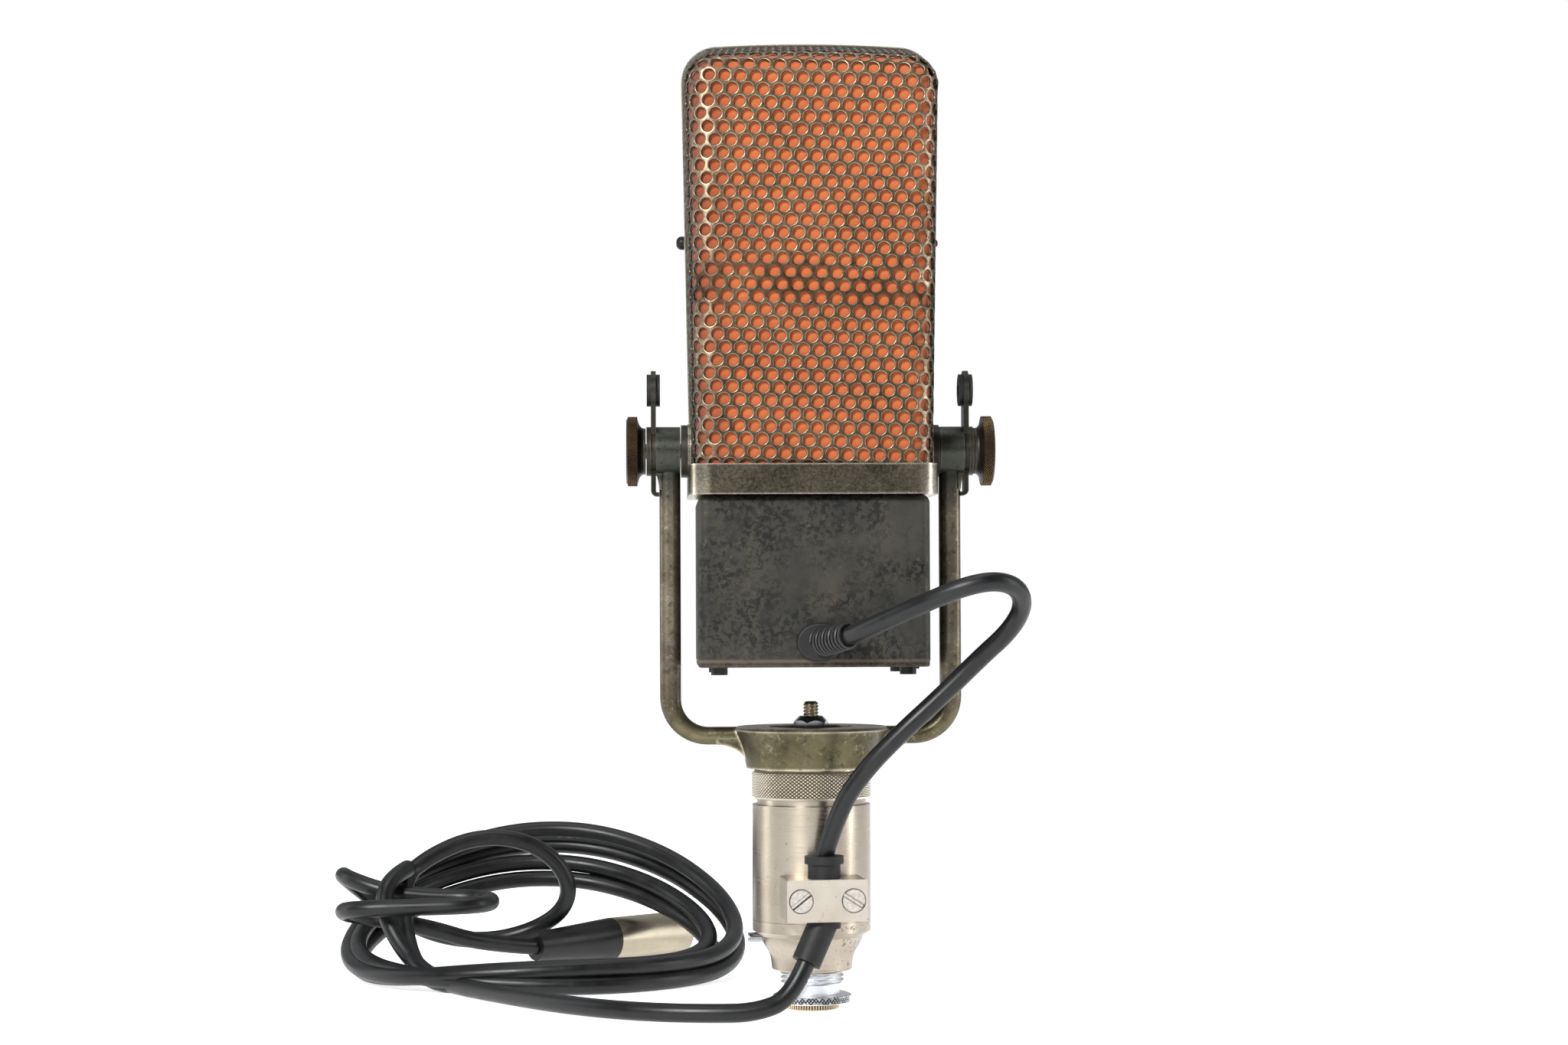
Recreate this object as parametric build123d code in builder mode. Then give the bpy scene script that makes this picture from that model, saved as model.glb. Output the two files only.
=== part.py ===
"""Ribbon microphone in a yoke, on a stand mount, with its cable, coil and plug.

Millimetres, +Z up, front towards -Y. The origin is the centre of the thread bush's bottom face,
on the axis of the stand mount. Each physical piece is one node, written to parts/NAME.step.
"""

from build123d import *
import math
import os

# ---------------------------------------------------------------- driving dimensions
# heights up the mount axis
BUSH_TOP = 2.6
ADAPTER_FLANGE_TOP = 5.8
ADAPTER_NECK_TOP = 10.2
ADAPTER_TOP = 24.0
BELL_BOTTOM = 15.4
BELL_TOP = 35.4
CYLINDER_TOP = 83.5
RING_TOP = 94.8
BOSS_BOTTOM = 95.6
BOSS_TOP = 112.0
STUD_TOP = 122.0
PIVOT_Z = 222.0

# stand mount
THREAD_R = 4.76                 # 3/8 inch stand thread, nominal radius
BUSH_THREAD_R = 7.94            # 5/8 inch thread between bush and adapter
BELL_THREAD_R = 12.7
CYLINDER_R = 23.6
GROOVE_R = 21.8
SPINDLE_R = 9.0
RING_R = 23.85
RING_CLEARANCE = 0.05
SWIVEL_GAP = 0.1                # between the bell's top face and the cylinder
STUD_R = 3.175                  # 1/4 inch stud

# yoke
ARM_X = 56.0                    # arm centreline
ARM_W = 8.4
ARM_D = 10.0
YOKE_OUTER = ARM_X + ARM_W / 2
YOKE_BEND_R = 19.0
BRIDGE_T = 7.0
BOSS_R_LOW = 26.4
BOSS_R_HIGH = 30.8
PIVOT_BOSS_R = 9.8
TAB_T = 2.0
TAB_W = 7.0
TAB_BEND_Z = 207.0
TAB_FOOT_Z = 204.0
EYE_UP = 24.4                   # the tab plates' grommets above the pivot line
PIVOT_BOSS_IN = 51.8
PIVOT_BOSS_OUT = 61.5
PIVOT_R = 3.0
RUNNING = 0.05                  # radial clearance of a shaft in its bore

# head
BAND_HALF_W = 48.8
BAND_HALF_D = 37.0
BAND_LOW = 203.6
BAND_HIGH = 215.6
BAND_T = 1.2
BAND_CORNER = 9.0
EAR_R = 11.0                    # the band's ears, which carry the pivot studs
GRILLE_LOW = 206.0
GRILLE_TOP = 384.8
GRILLE_HALF_LOW = 47.3
GRILLE_HALF_HIGH = 50.6
GRILLE_DEPTH = 35.3             # from the middle plane to the front face
GRILLE_T = 0.9
FACE_EDGE = 10.0                 # round of the front face's edge
GRILLE_CORNER = 14.0            # at the middle of the head
FRONT_CORNER = 12.0             # at its front face
SIDE_DRAFT = 0.015               # how far the sides lean in, per unit of depth, towards the front
TOP_DRAFT = 0.25                # how far the top falls
CROWN = 2.2                     # how far the top rises to its middle
FRAME_HALF_D = 1.6
CLOTH_T = 0.7
SIDE_SCREW_Z = 305.5
CASE_HALF_W = 45.4
CASE_HALF_D = 33.0
CASE_LOW = 138.6
CASE_HIGH = BAND_LOW
CASE_T = 1.6
PLATE_T = 2.4
LEAD_Y = 20.5                   # where the ribbon's leads pass from the head into the case

# cable
CORD_R = 3.65
SLEEVE_R = 6.35
SLEEVE_TIP_R = 5.75
CLAMP_ANGLE = 6.0               # the clamp sits a little to the right of the front
CLAMP_R = 31.4                  # sleeve's distance from the mount axis
CLAMP_FRONT = 39.5
CLAMP_LOW, CLAMP_HIGH = 38.0, 54.3
CLAMP_W = 31.6
CLAMP_MIDDLE = (CLAMP_LOW + CLAMP_HIGH) / 2
CLAMP_SCREW_X = 10.3
GLAND = (2.0, -CASE_HALF_D, 146.0)

# route of the cable from the case to the clamp, then from the clamp to the coil, and its tail
UPPER_ROUTE = [
    (2.0, -33.0, 146.0), (11.5, -50.5, 148.0), (24.0, -64.0, 154.0), (39.0, -75.0, 161.0),
    (52.5, -81.5, 167.0), (65.0, -81.0, 169.5), (74.5, -74.0, 167.0), (78.0, -63.0, 159.5),
    (73.5, -53.5, 150.0), (63.0, -47.5, 140.0), (48.0, -44.5, 125.0), (32.0, -43.5, 110.5),
    (18.5, -41.0, 96.5), (8.8, -35.6, 81.5), (3.28, -31.23, 63.0),
]
LOWER_ROUTE = [
    (-4.2, -35.5, 22.0), (-10.2, -39.2, 8.8), (-24.0, -42.5, 4.0), (-42.0, -41.5, 3.75),
    (-61.5, -37.0, 3.75), (-81.0, -26.5, 3.75), (-101.5, -8.0, 3.75), (-120.5, 15.5, 3.75),
    (-139.5, 42.0, 3.75), (-154.5, 66.0, 4.2), (-167.5, 78.5, 13.0), (-177.5, 87.0, 29.0),
    (-178.0, 96.0, 43.0), (-169.5, 110.5, 47.0),
]
LOOP_ROUTE = [
    (-174.5, 125.5, 40.0), (-160.5, 134.0, 51.0), (-142.0, 139.5, 58.0), (-123.0, 142.5, 57.0),
    (-108.0, 145.0, 49.0), (-100.0, 147.5, 36.0), (-103.5, 151.5, 23.5), (-117.5, 156.5, 14.5),
    (-137.5, 156.0, 10.0), (-158.5, 149.0, 13.0),
]
TAIL_ROUTE = [
    (-177.5, 106.0, 27.0), (-159.0, 114.0, 20.5), (-139.0, 122.0, 13.0), (-115.5, 136.5, 9.7),
]
PLUG_R = 9.5
PLUG_BOOT_LENGTH = 43.0
PLUG_LENGTH = 85.0
PLUG_HEADING = 40.5             # degrees from +X towards +Y

COIL_CENTRE = (-111.0, 117.0)
COIL_HALF_X = 83.0
COIL_HALF_Y = 76.0

os.makedirs("parts", exist_ok=True)


def finish(builder, node):
    """Label a finished piece and write it to its own file."""
    builder.part.label = node
    export_step(builder.part, f"parts/{node}.step")


def plane_x(x):
    """A plane square to X, with its own x along +Y and its normal along +X."""
    return Plane(origin=(x, 0, 0), x_dir=(0, 1, 0), z_dir=(1, 0, 0))


# ---------------------------------------------------------------- stand mount
def stand_mount():
    with BuildPart() as bush:
        with BuildSketch():
            Circle(10.95)
        extrude(amount=BUSH_TOP)
        with BuildSketch(Plane.XY.offset(BUSH_TOP)):
            Circle(BUSH_THREAD_R)
        extrude(amount=10.4)
        with BuildSketch():
            Circle(THREAD_R)
        extrude(amount=20, mode=Mode.SUBTRACT)
    finish(bush, "thread_bush")

    with BuildPart() as adapter:
        with BuildSketch(Plane.XZ):
            with BuildLine():
                Polyline(
                    (BUSH_THREAD_R, BUSH_TOP), (15.85, BUSH_TOP), (15.85, ADAPTER_FLANGE_TOP),
                    (11.1, ADAPTER_FLANGE_TOP), (11.1, ADAPTER_NECK_TOP),
                    (BELL_THREAD_R, ADAPTER_NECK_TOP), (BELL_THREAD_R, ADAPTER_TOP),
                    (BUSH_THREAD_R, ADAPTER_TOP), close=True,
                )
            make_face()
        revolve(axis=Axis.Z)
    finish(adapter, "thread_adapter")

    with BuildPart() as bell:
        with BuildSketch(Plane.XZ):
            with BuildLine():
                flare = Polyline((BELL_THREAD_R, BELL_BOTTOM), (15.2, BELL_BOTTOM))
                lip = TangentArc(flare @ 1, (16.0, 16.4), tangent=(1, 0))
                neck = Spline(lip @ 1, (16.9, 21.6), (20.4, 29.0), tangents=((0.1, 1), (0.2, 1)))
                Polyline(
                    neck @ 1, (CYLINDER_R, 31.2), (CYLINDER_R, BELL_TOP), (SPINDLE_R, BELL_TOP),
                    (SPINDLE_R, ADAPTER_TOP), (BELL_THREAD_R, ADAPTER_TOP), flare @ 0,
                )
            make_face()
        revolve(axis=Axis.Z)
        with BuildSketch(Plane(origin=(0, 0, 28.2), x_dir=(0, 1, 0), z_dir=(-1, 0, 0))):
            Circle(2.05)
        extrude(amount=30, mode=Mode.SUBTRACT)
    finish(bell, "bell_base")

    with BuildPart() as screw:
        with BuildSketch(Plane(origin=(-SPINDLE_R - 0.1, 0, 28.2), x_dir=(0, 1, 0), z_dir=(-1, 0, 0))):
            Circle(2.0)
        extrude(amount=16.4)
        chamfer(screw.edges().sort_by(Axis.X)[0], 0.4)
        with BuildSketch(Plane(origin=(-24.5, 0, 28.2), x_dir=(0, 1, 0), z_dir=(-1, 0, 0))):
            Rectangle(6.0, 0.8)
        extrude(amount=2.0, mode=Mode.SUBTRACT)
    finish(screw, "bell_set_screw")

    with BuildPart() as spindle:
        with BuildSketch(Plane.XY.offset(ADAPTER_TOP)):
            Circle(SPINDLE_R)
        extrude(amount=62.0 - ADAPTER_TOP)
        with BuildSketch(Plane.XY.offset(62.0)):
            Circle(SPINDLE_R + 3)
        extrude(amount=2.5)
    finish(spindle, "swivel_spindle")


def swivel_and_ring():
    with BuildPart() as cylinder:
        with BuildSketch(Plane.XZ):
            with BuildLine():
                low = BELL_TOP + SWIVEL_GAP
                Polyline(
                    (SPINDLE_R + RUNNING, low), (CYLINDER_R, low), (CYLINDER_R, 81.2),
                    (GROOVE_R, 81.2), (GROOVE_R, BOSS_BOTTOM), (STUD_R, BOSS_BOTTOM),
                    (STUD_R, 78.0), (14.0, 78.0), (14.0, 61.9), (SPINDLE_R + RUNNING, 61.9), close=True,
                )
            make_face()
        revolve(axis=Axis.Z)
        for side in (-1, 1):
            with BuildSketch(clamp_plane(CYLINDER_R - 6)):
                with Locations((side * CLAMP_SCREW_X, CLAMP_MIDDLE)):
                    Circle(2.5)
            extrude(amount=10, mode=Mode.SUBTRACT)
    finish(cylinder, "swivel_cylinder")

    with BuildPart() as ring:
        with BuildSketch(Plane.XY.offset(CYLINDER_TOP)):
            Circle(RING_R)
            Circle(GROOVE_R + RING_CLEARANCE, mode=Mode.SUBTRACT)
        extrude(amount=RING_TOP - CYLINDER_TOP)
        chamfer(ring.edges().filter_by(GeomType.CIRCLE).group_by(SortBy.RADIUS)[-1], 0.7)
    finish(ring, "lock_ring")

    with BuildPart() as stud:
        with BuildSketch(Plane.XY.offset(78.0)):
            Circle(STUD_R)
        extrude(amount=STUD_TOP - 78.0)
        chamfer(stud.edges().sort_by(Axis.Z)[-1], 0.7)
    finish(stud, "yoke_stud")

    with BuildPart() as washer:
        with BuildSketch(Plane.XY.offset(BOSS_TOP - 3.0)):
            Circle(7.6)
            Circle(STUD_R, mode=Mode.SUBTRACT)
        extrude(amount=1.6)
    finish(washer, "lock_washer")

    foot, top = BOSS_TOP - 1.4, BOSS_TOP + 4.2
    with BuildPart() as nut:
        with BuildSketch(Plane.XY.offset(foot)):
            RegularPolygon(6.4, 6, major_radius=False, rotation=15)
        extrude(amount=top - foot)
        with BuildSketch(Plane.XZ):
            Polygon((0, foot), (7.6, foot), (7.6, foot + 2.6), (4.7, top), (0, top), align=None)
        revolve(axis=Axis.Z, mode=Mode.INTERSECT)
        with BuildSketch(Plane.XY.offset(foot)):
            Circle(STUD_R)
        extrude(amount=10, mode=Mode.SUBTRACT)
    finish(nut, "yoke_nut")


# ---------------------------------------------------------------- cable clamp on the swivel cylinder
def clamp_plane(distance):
    """An upright plane facing the clamp's way, its x to the right and its y up."""
    turn = math.radians(CLAMP_ANGLE)
    out = Vector(math.sin(turn), -math.cos(turn), 0)
    return Plane(origin=out * distance, x_dir=(math.cos(turn), math.sin(turn), 0), z_dir=out)


def cable_clamp():
    screw_places = ((-CLAMP_SCREW_X, CLAMP_MIDDLE), (CLAMP_SCREW_X, CLAMP_MIDDLE))
    with BuildPart() as block:
        with BuildSketch(clamp_plane(16.0)):
            with Locations((0, CLAMP_MIDDLE)):
                RectangleRounded(CLAMP_W, CLAMP_HIGH - CLAMP_LOW, 0.8)
        extrude(amount=CLAMP_FRONT - 16.0)
        with BuildSketch():
            Circle(CYLINDER_R)
        extrude(amount=100, mode=Mode.SUBTRACT)
        with BuildSketch(Plane(clamp_plane(CLAMP_R).origin)):
            Circle(SLEEVE_R)
        extrude(amount=100, mode=Mode.SUBTRACT)
        with BuildSketch(clamp_plane(0)):
            with Locations(*screw_places):
                Circle(2.5)
        extrude(amount=60, mode=Mode.SUBTRACT)
        with BuildSketch(clamp_plane(CLAMP_FRONT - 2.6)):
            with Locations(*screw_places):
                Circle(4.8)
        extrude(amount=10, mode=Mode.SUBTRACT)
    finish(block, "cable_clamp_block")

    with BuildPart() as screws:
        with BuildSketch(clamp_plane(CYLINDER_R - 6)):
            with Locations(*screw_places):
                Circle(2.5)
        extrude(amount=CLAMP_FRONT - 2.6 - CYLINDER_R + 6)
        with BuildSketch(clamp_plane(CLAMP_FRONT - 2.6)):
            with Locations(*screw_places):
                Circle(4.55)
        extrude(amount=2.9)
        with BuildSketch(clamp_plane(CLAMP_FRONT - 1.2)):
            for place, angle in zip(screw_places, (38, -33)):
                with Locations(Location(place, angle)):
                    Rectangle(10, 1.4)
        extrude(amount=2, mode=Mode.SUBTRACT)
    finish(screws, "clamp_screws")

    start = clamp_plane(CLAMP_R).origin + Vector(0, 0, CLAMP_LOW)
    tip = Vector(*LOWER_ROUTE[0])
    with BuildPart() as sleeve:
        with BuildSketch(Plane(clamp_plane(CLAMP_R).origin + Vector(0, 0, CLAMP_LOW - 3))):
            Circle(SLEEVE_R)
        extrude(amount=60.0 - CLAMP_LOW + 3)
        with BuildSketch(Plane(clamp_plane(CLAMP_R).origin + Vector(0, 0, 60.0))):
            Circle(7.6)
        extrude(amount=3.0)
        with BuildSketch(Plane(origin=start, z_dir=tip - start)):
            Circle(SLEEVE_TIP_R)
        extrude(amount=(tip - start).length - 0.1)
    finish(sleeve, "cable_sleeve")


# ---------------------------------------------------------------- yoke and its pivots
def yoke():
    bridge = BOSS_TOP - BRIDGE_T
    with BuildPart() as body:
        with BuildSketch(Plane.XZ.offset(-ARM_D / 2)):
            with BuildLine():
                outer = FilletPolyline(
                    (-YOKE_OUTER, PIVOT_Z), (-YOKE_OUTER, bridge), (YOKE_OUTER, bridge),
                    (YOKE_OUTER, PIVOT_Z), radius=YOKE_BEND_R,
                )
                Line(outer @ 1, (YOKE_OUTER - ARM_W, PIVOT_Z))
                FilletPolyline(
                    (YOKE_OUTER - ARM_W, PIVOT_Z), (YOKE_OUTER - ARM_W, BOSS_TOP),
                    (ARM_W - YOKE_OUTER, BOSS_TOP), (ARM_W - YOKE_OUTER, PIVOT_Z), radius=11.0,
                )
                Line((ARM_W - YOKE_OUTER, PIVOT_Z), outer @ 0)
            make_face()
        extrude(amount=ARM_D)
        long_edges = body.edges().filter_by_position(Axis.Z, 100, PIVOT_Z - 1)
        fillet(long_edges, 3.4)
        with BuildSketch(Plane.XZ):
            with BuildLine():
                low = Line((0, BOSS_BOTTOM), (BOSS_R_LOW - 0.6, BOSS_BOTTOM))
                Spline(low @ 1, (BOSS_R_LOW + 0.6, 101.0), (BOSS_R_HIGH, BOSS_TOP - 1.2))
                Polyline((BOSS_R_HIGH, BOSS_TOP - 1.2), (BOSS_R_HIGH - 1, BOSS_TOP), (0, BOSS_TOP))
                Line((0, BOSS_TOP), (0, BOSS_BOTTOM))
            make_face()
        revolve(axis=Axis.Z)
        for side in (-1, 1):
            with BuildSketch(Plane.XZ.offset(-ARM_D / 2)):
                with BuildLine():
                    web = Spline(
                        (side * (BOSS_R_LOW - 1), 98.0), (side * (BOSS_R_LOW + 3), 102.6),
                        (side * (BOSS_R_LOW + 11), bridge),
                    )
                    Polyline(
                        web @ 1, (side * (BOSS_R_LOW + 11), bridge + 2),
                        (side * (BOSS_R_LOW - 1), bridge + 2), web @ 0,
                    )
                make_face()
            extrude(amount=ARM_D)
            with BuildSketch(Plane.XZ.offset(-4.6)):
                with BuildLine():
                    flare = Spline(
                        (side * YOKE_OUTER, PIVOT_Z - 15.4),
                        (side * (YOKE_OUTER + 0.4), PIVOT_Z - 12.0),
                        (side * PIVOT_BOSS_OUT, PIVOT_Z - 8.8),
                    )
                    Polyline(
                        flare @ 1, (side * (YOKE_OUTER - 1), PIVOT_Z - 8.8),
                        (side * (YOKE_OUTER - 1), PIVOT_Z - 15.4), flare @ 0,
                    )
                make_face()
            extrude(amount=9.2)
        with BuildSketch(Plane.XY.offset(BOSS_TOP - 3.0)):
            Circle(17.0)
        extrude(amount=10, mode=Mode.SUBTRACT)
        with BuildSketch():
            Circle(STUD_R)
        extrude(amount=150, mode=Mode.SUBTRACT)
        for side in (-1, 1):
            with BuildSketch(plane_x(side * PIVOT_BOSS_IN)):
                with Locations((0, PIVOT_Z)):
                    Circle(PIVOT_BOSS_R)
            extrude(amount=side * (PIVOT_BOSS_OUT - PIVOT_BOSS_IN))
        with BuildSketch(plane_x(-80)):
            with Locations((0, PIVOT_Z)):
                Circle(PIVOT_R + RUNNING)
        extrude(amount=160, mode=Mode.SUBTRACT)
    finish(body, "yoke")


def disc_on_pivot(outer, inner, start, end):
    """A washer round the pivot line between two places along X."""
    with BuildPart(mode=Mode.PRIVATE) as washer:
        with BuildSketch(plane_x(min(start, end))):
            with Locations((0, PIVOT_Z)):
                Circle(outer)
                Circle(inner, mode=Mode.SUBTRACT)
        extrude(amount=abs(end - start))
    return washer.part


def pivots():
    bore = PIVOT_R + RUNNING
    with BuildPart() as spacers:
        for side in (-1, 1):
            add(disc_on_pivot(10.5, PIVOT_R, side * BAND_HALF_W, side * (PIVOT_BOSS_IN - 0.3)))
    finish(spacers, "pivot_spacers")

    with BuildPart() as studs:
        for side in (-1, 1):
            with BuildSketch(plane_x(side * (BAND_HALF_W - BAND_T))):
                with Locations((0, PIVOT_Z)):
                    Circle(PIVOT_R)
            extrude(amount=side * (70.5 - BAND_HALF_W + BAND_T))
    finish(studs, "pivot_studs")

    with BuildPart() as washers:
        for side in (-1, 1):
            add(disc_on_pivot(PIVOT_BOSS_R, bore, side * 63.5, side * 65.3))
    finish(washers, "knob_washers")

    for side, word in ((-1, "left"), (1, "right")):
        with BuildPart() as knob:
            with BuildSketch(Plane.XZ):
                with BuildLine():
                    edge = Polyline(
                        (side * 65.6, PIVOT_Z + bore), (side * 65.6, PIVOT_Z + 9.25),
                        (side * 66.6, PIVOT_Z + 9.25),
                    )
                    flare = Spline(
                        edge @ 1, (side * 67.8, PIVOT_Z + 10.2), (side * 68.6, PIVOT_Z + 13.2),
                    )
                    Polyline(
                        flare @ 1, (side * 69.2, PIVOT_Z + 14.0), (side * 72.5, PIVOT_Z + 14.0),
                        (side * 73.3, PIVOT_Z + 13.2), (side * 73.3, PIVOT_Z),
                        (side * 70.6, PIVOT_Z), (side * 70.6, PIVOT_Z + bore),
                        (side * 65.6, PIVOT_Z + bore),
                    )
                make_face()
            revolve(axis=Axis((0, 0, PIVOT_Z), (1, 0, 0)))
        finish(knob, f"knob_{word}")

        with BuildPart() as tab:
            with BuildSketch(plane_x(side * PIVOT_BOSS_OUT)):
                with Locations((0, PIVOT_Z)):
                    Circle(8.6)
                with Locations((0, PIVOT_Z + EYE_UP)):
                    Circle(7.8)
                with Locations((0, PIVOT_Z + EYE_UP / 2)):
                    Rectangle(11.0, EYE_UP)
                with Locations((0, (PIVOT_Z + TAB_BEND_Z) / 2)):
                    Rectangle(TAB_W, PIVOT_Z - TAB_BEND_Z)
                with Locations((0, PIVOT_Z)):
                    Circle(bore, mode=Mode.SUBTRACT)
                with Locations((0, PIVOT_Z + EYE_UP)):
                    Circle(4.2, mode=Mode.SUBTRACT)
            extrude(amount=side * TAB_T)
            outer, inner = side * (PIVOT_BOSS_OUT + TAB_T), side * PIVOT_BOSS_OUT
            touch = side * (YOKE_OUTER + RUNNING)
            with BuildSketch(Plane.XZ.offset(-TAB_W / 2)):
                with BuildLine():
                    FilletPolyline(
                        (outer, TAB_BEND_Z), (outer, TAB_FOOT_Z), (touch, TAB_FOOT_Z), radius=2.4,
                    )
                    FilletPolyline(
                        (touch, TAB_FOOT_Z + 1.6), (inner, TAB_FOOT_Z + 1.6), (inner, TAB_BEND_Z),
                        radius=0.5,
                    )
                    Line((touch, TAB_FOOT_Z), (touch, TAB_FOOT_Z + 1.6))
                    Line((inner, TAB_BEND_Z), (outer, TAB_BEND_Z))
                make_face()
            extrude(amount=TAB_W)
        finish(tab, f"tab_plate_{word}")

    with BuildPart() as grommets:
        for side in (-1, 1):
            middle = side * (PIVOT_BOSS_OUT + TAB_T / 2)
            for start, end, radius in (
                (middle - 2.65, middle - 1.0, 6.4), (middle - 1.0, middle + 1.0, 4.2),
                (middle + 1.0, middle + 2.65, 6.4),
            ):
                with BuildSketch(plane_x(start)):
                    with Locations((0, PIVOT_Z + EYE_UP)):
                        Circle(radius)
                extrude(amount=end - start)
        with BuildSketch(plane_x(-80)):
            with Locations((0, PIVOT_Z + EYE_UP)):
                Circle(2.5)
        extrude(amount=160, mode=Mode.SUBTRACT)
    finish(grommets, "tab_grommets")


# ---------------------------------------------------------------- head: grilles, frame, band
def head_outline(grow, low, run=0.0):
    """The head's outline, run in front of its middle, wider towards the top and grown outwards."""
    shrink = SIDE_DRAFT * run
    peak = GRILLE_TOP + grow - TOP_DRAFT * run
    shoulder = peak - CROWN
    slope = (GRILLE_HALF_HIGH - GRILLE_HALF_LOW) / (GRILLE_TOP - CROWN - GRILLE_LOW)
    bottom = GRILLE_HALF_LOW + grow - shrink + slope * (low - GRILLE_LOW)
    top = GRILLE_HALF_HIGH + grow - shrink
    corner = GRILLE_CORNER + (FRONT_CORNER - GRILLE_CORNER) * run / GRILLE_DEPTH
    with BuildSketch(Plane.XZ, mode=Mode.PRIVATE) as outline:
        with BuildLine():
            sides = Polyline((-top, shoulder), (-bottom, low), (bottom, low), (top, shoulder))
            ThreePointArc(sides @ 1, (0, peak), sides @ 0)
        make_face()
        upper = outline.vertices().group_by(Axis.Z)[-1]
        fillet(upper, corner + grow)
    return outline.sketch


def half_solid(side, grow, edge, low):
    """One half of the head, from its middle to its rounded face. side is -1 for the front."""
    run = GRILLE_DEPTH + grow - FRAME_HALF_D
    with BuildPart(mode=Mode.PRIVATE) as solid:
        with BuildSketch(Plane.XZ.offset(-side * FRAME_HALF_D)):
            add(head_outline(grow, low - 30))
        with BuildSketch(Plane.XZ.offset(-side * (FRAME_HALF_D + run))):
            add(head_outline(grow, low - 30, run))
        loft(ruled=True)
        face = solid.faces().sort_by(Axis.Y)[0 if side < 0 else -1]
        fillet(face.edges(), edge)
    return solid.part


def half_shell(side, outer_grow, thickness, edge, low):
    """One half of the head as an open-backed, open-bottomed shell."""
    with BuildPart(mode=Mode.PRIVATE) as shell:
        add(half_solid(side, outer_grow, edge, low))
        add(half_solid(side, outer_grow - thickness, edge - thickness, low), mode=Mode.SUBTRACT)
        split(bisect_by=Plane.XY.offset(low), keep=Keep.TOP)
    return shell.part


def head_shells():
    for side, word in ((-1, "front"), (1, "rear")):
        with BuildPart() as grille:
            add(half_shell(side, 0.0, GRILLE_T, FACE_EDGE, GRILLE_LOW))
        finish(grille, f"{word}_grille")
        with BuildPart() as cloth:
            inward = GRILLE_T + 0.3
            add(half_shell(side, -inward, CLOTH_T, FACE_EDGE - inward, GRILLE_LOW))
        finish(cloth, f"{word}_cloth")

    with BuildPart() as frame:
        with BuildSketch(Plane.XZ.offset(-FRAME_HALF_D)):
            add(head_outline(0.6, GRILLE_LOW))
            add(head_outline(-2.4, GRILLE_LOW - 5), mode=Mode.SUBTRACT)
        extrude(amount=2 * FRAME_HALF_D)
        with BuildSketch(Plane.XY.offset(GRILLE_LOW)):
            Rectangle(140, 20)
            Rectangle(2 * (BAND_HALF_W - BAND_T - 0.05), 20, mode=Mode.SUBTRACT)
        extrude(amount=PIVOT_Z + EAR_R + 0.2 - GRILLE_LOW, mode=Mode.SUBTRACT)
    finish(frame, "centre_frame")

    with BuildPart() as screws:
        for side, head, proud in ((-1, 2.7, 3.2), (1, 1.7, 2.0)):
            with BuildSketch(plane_x(side * 49.9)):
                with Locations((0, SIDE_SCREW_Z)):
                    Circle(head)
            extrude(amount=side * proud)
            fillet(screws.faces().sort_by(Axis.X)[0 if side < 0 else -1].edges(), 0.8 * head)
    finish(screws, "side_screws")

    inner = (2 * (BAND_HALF_W - BAND_T), 2 * (BAND_HALF_D - BAND_T))
    with BuildPart() as band:
        with BuildSketch(Plane.XY.offset(BAND_LOW)):
            RectangleRounded(2 * BAND_HALF_W, 2 * BAND_HALF_D, BAND_CORNER)
            RectangleRounded(*inner, BAND_CORNER - BAND_T, mode=Mode.SUBTRACT)
        extrude(amount=BAND_HIGH - BAND_LOW)
        with BuildSketch(Plane.XY.offset(BAND_LOW)):
            RectangleRounded(*inner, BAND_CORNER - BAND_T)
            Rectangle(70, 52, mode=Mode.SUBTRACT)
        extrude(amount=2.0)
        for side in (-1, 1):
            with BuildSketch(plane_x(side * (BAND_HALF_W - BAND_T))):
                with BuildLine():
                    Polyline(
                        (-EAR_R, BAND_HIGH), (-EAR_R, PIVOT_Z), (EAR_R, PIVOT_Z), (EAR_R, BAND_HIGH),
                        close=True,
                    )
                make_face()
                with Locations((0, PIVOT_Z)):
                    Circle(EAR_R)
            extrude(amount=side * BAND_T)
        with BuildSketch(plane_x(-80)):
            with Locations((0, PIVOT_Z)):
                Circle(PIVOT_R)
        extrude(amount=160, mode=Mode.SUBTRACT)
    finish(band, "clamp_band")


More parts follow.
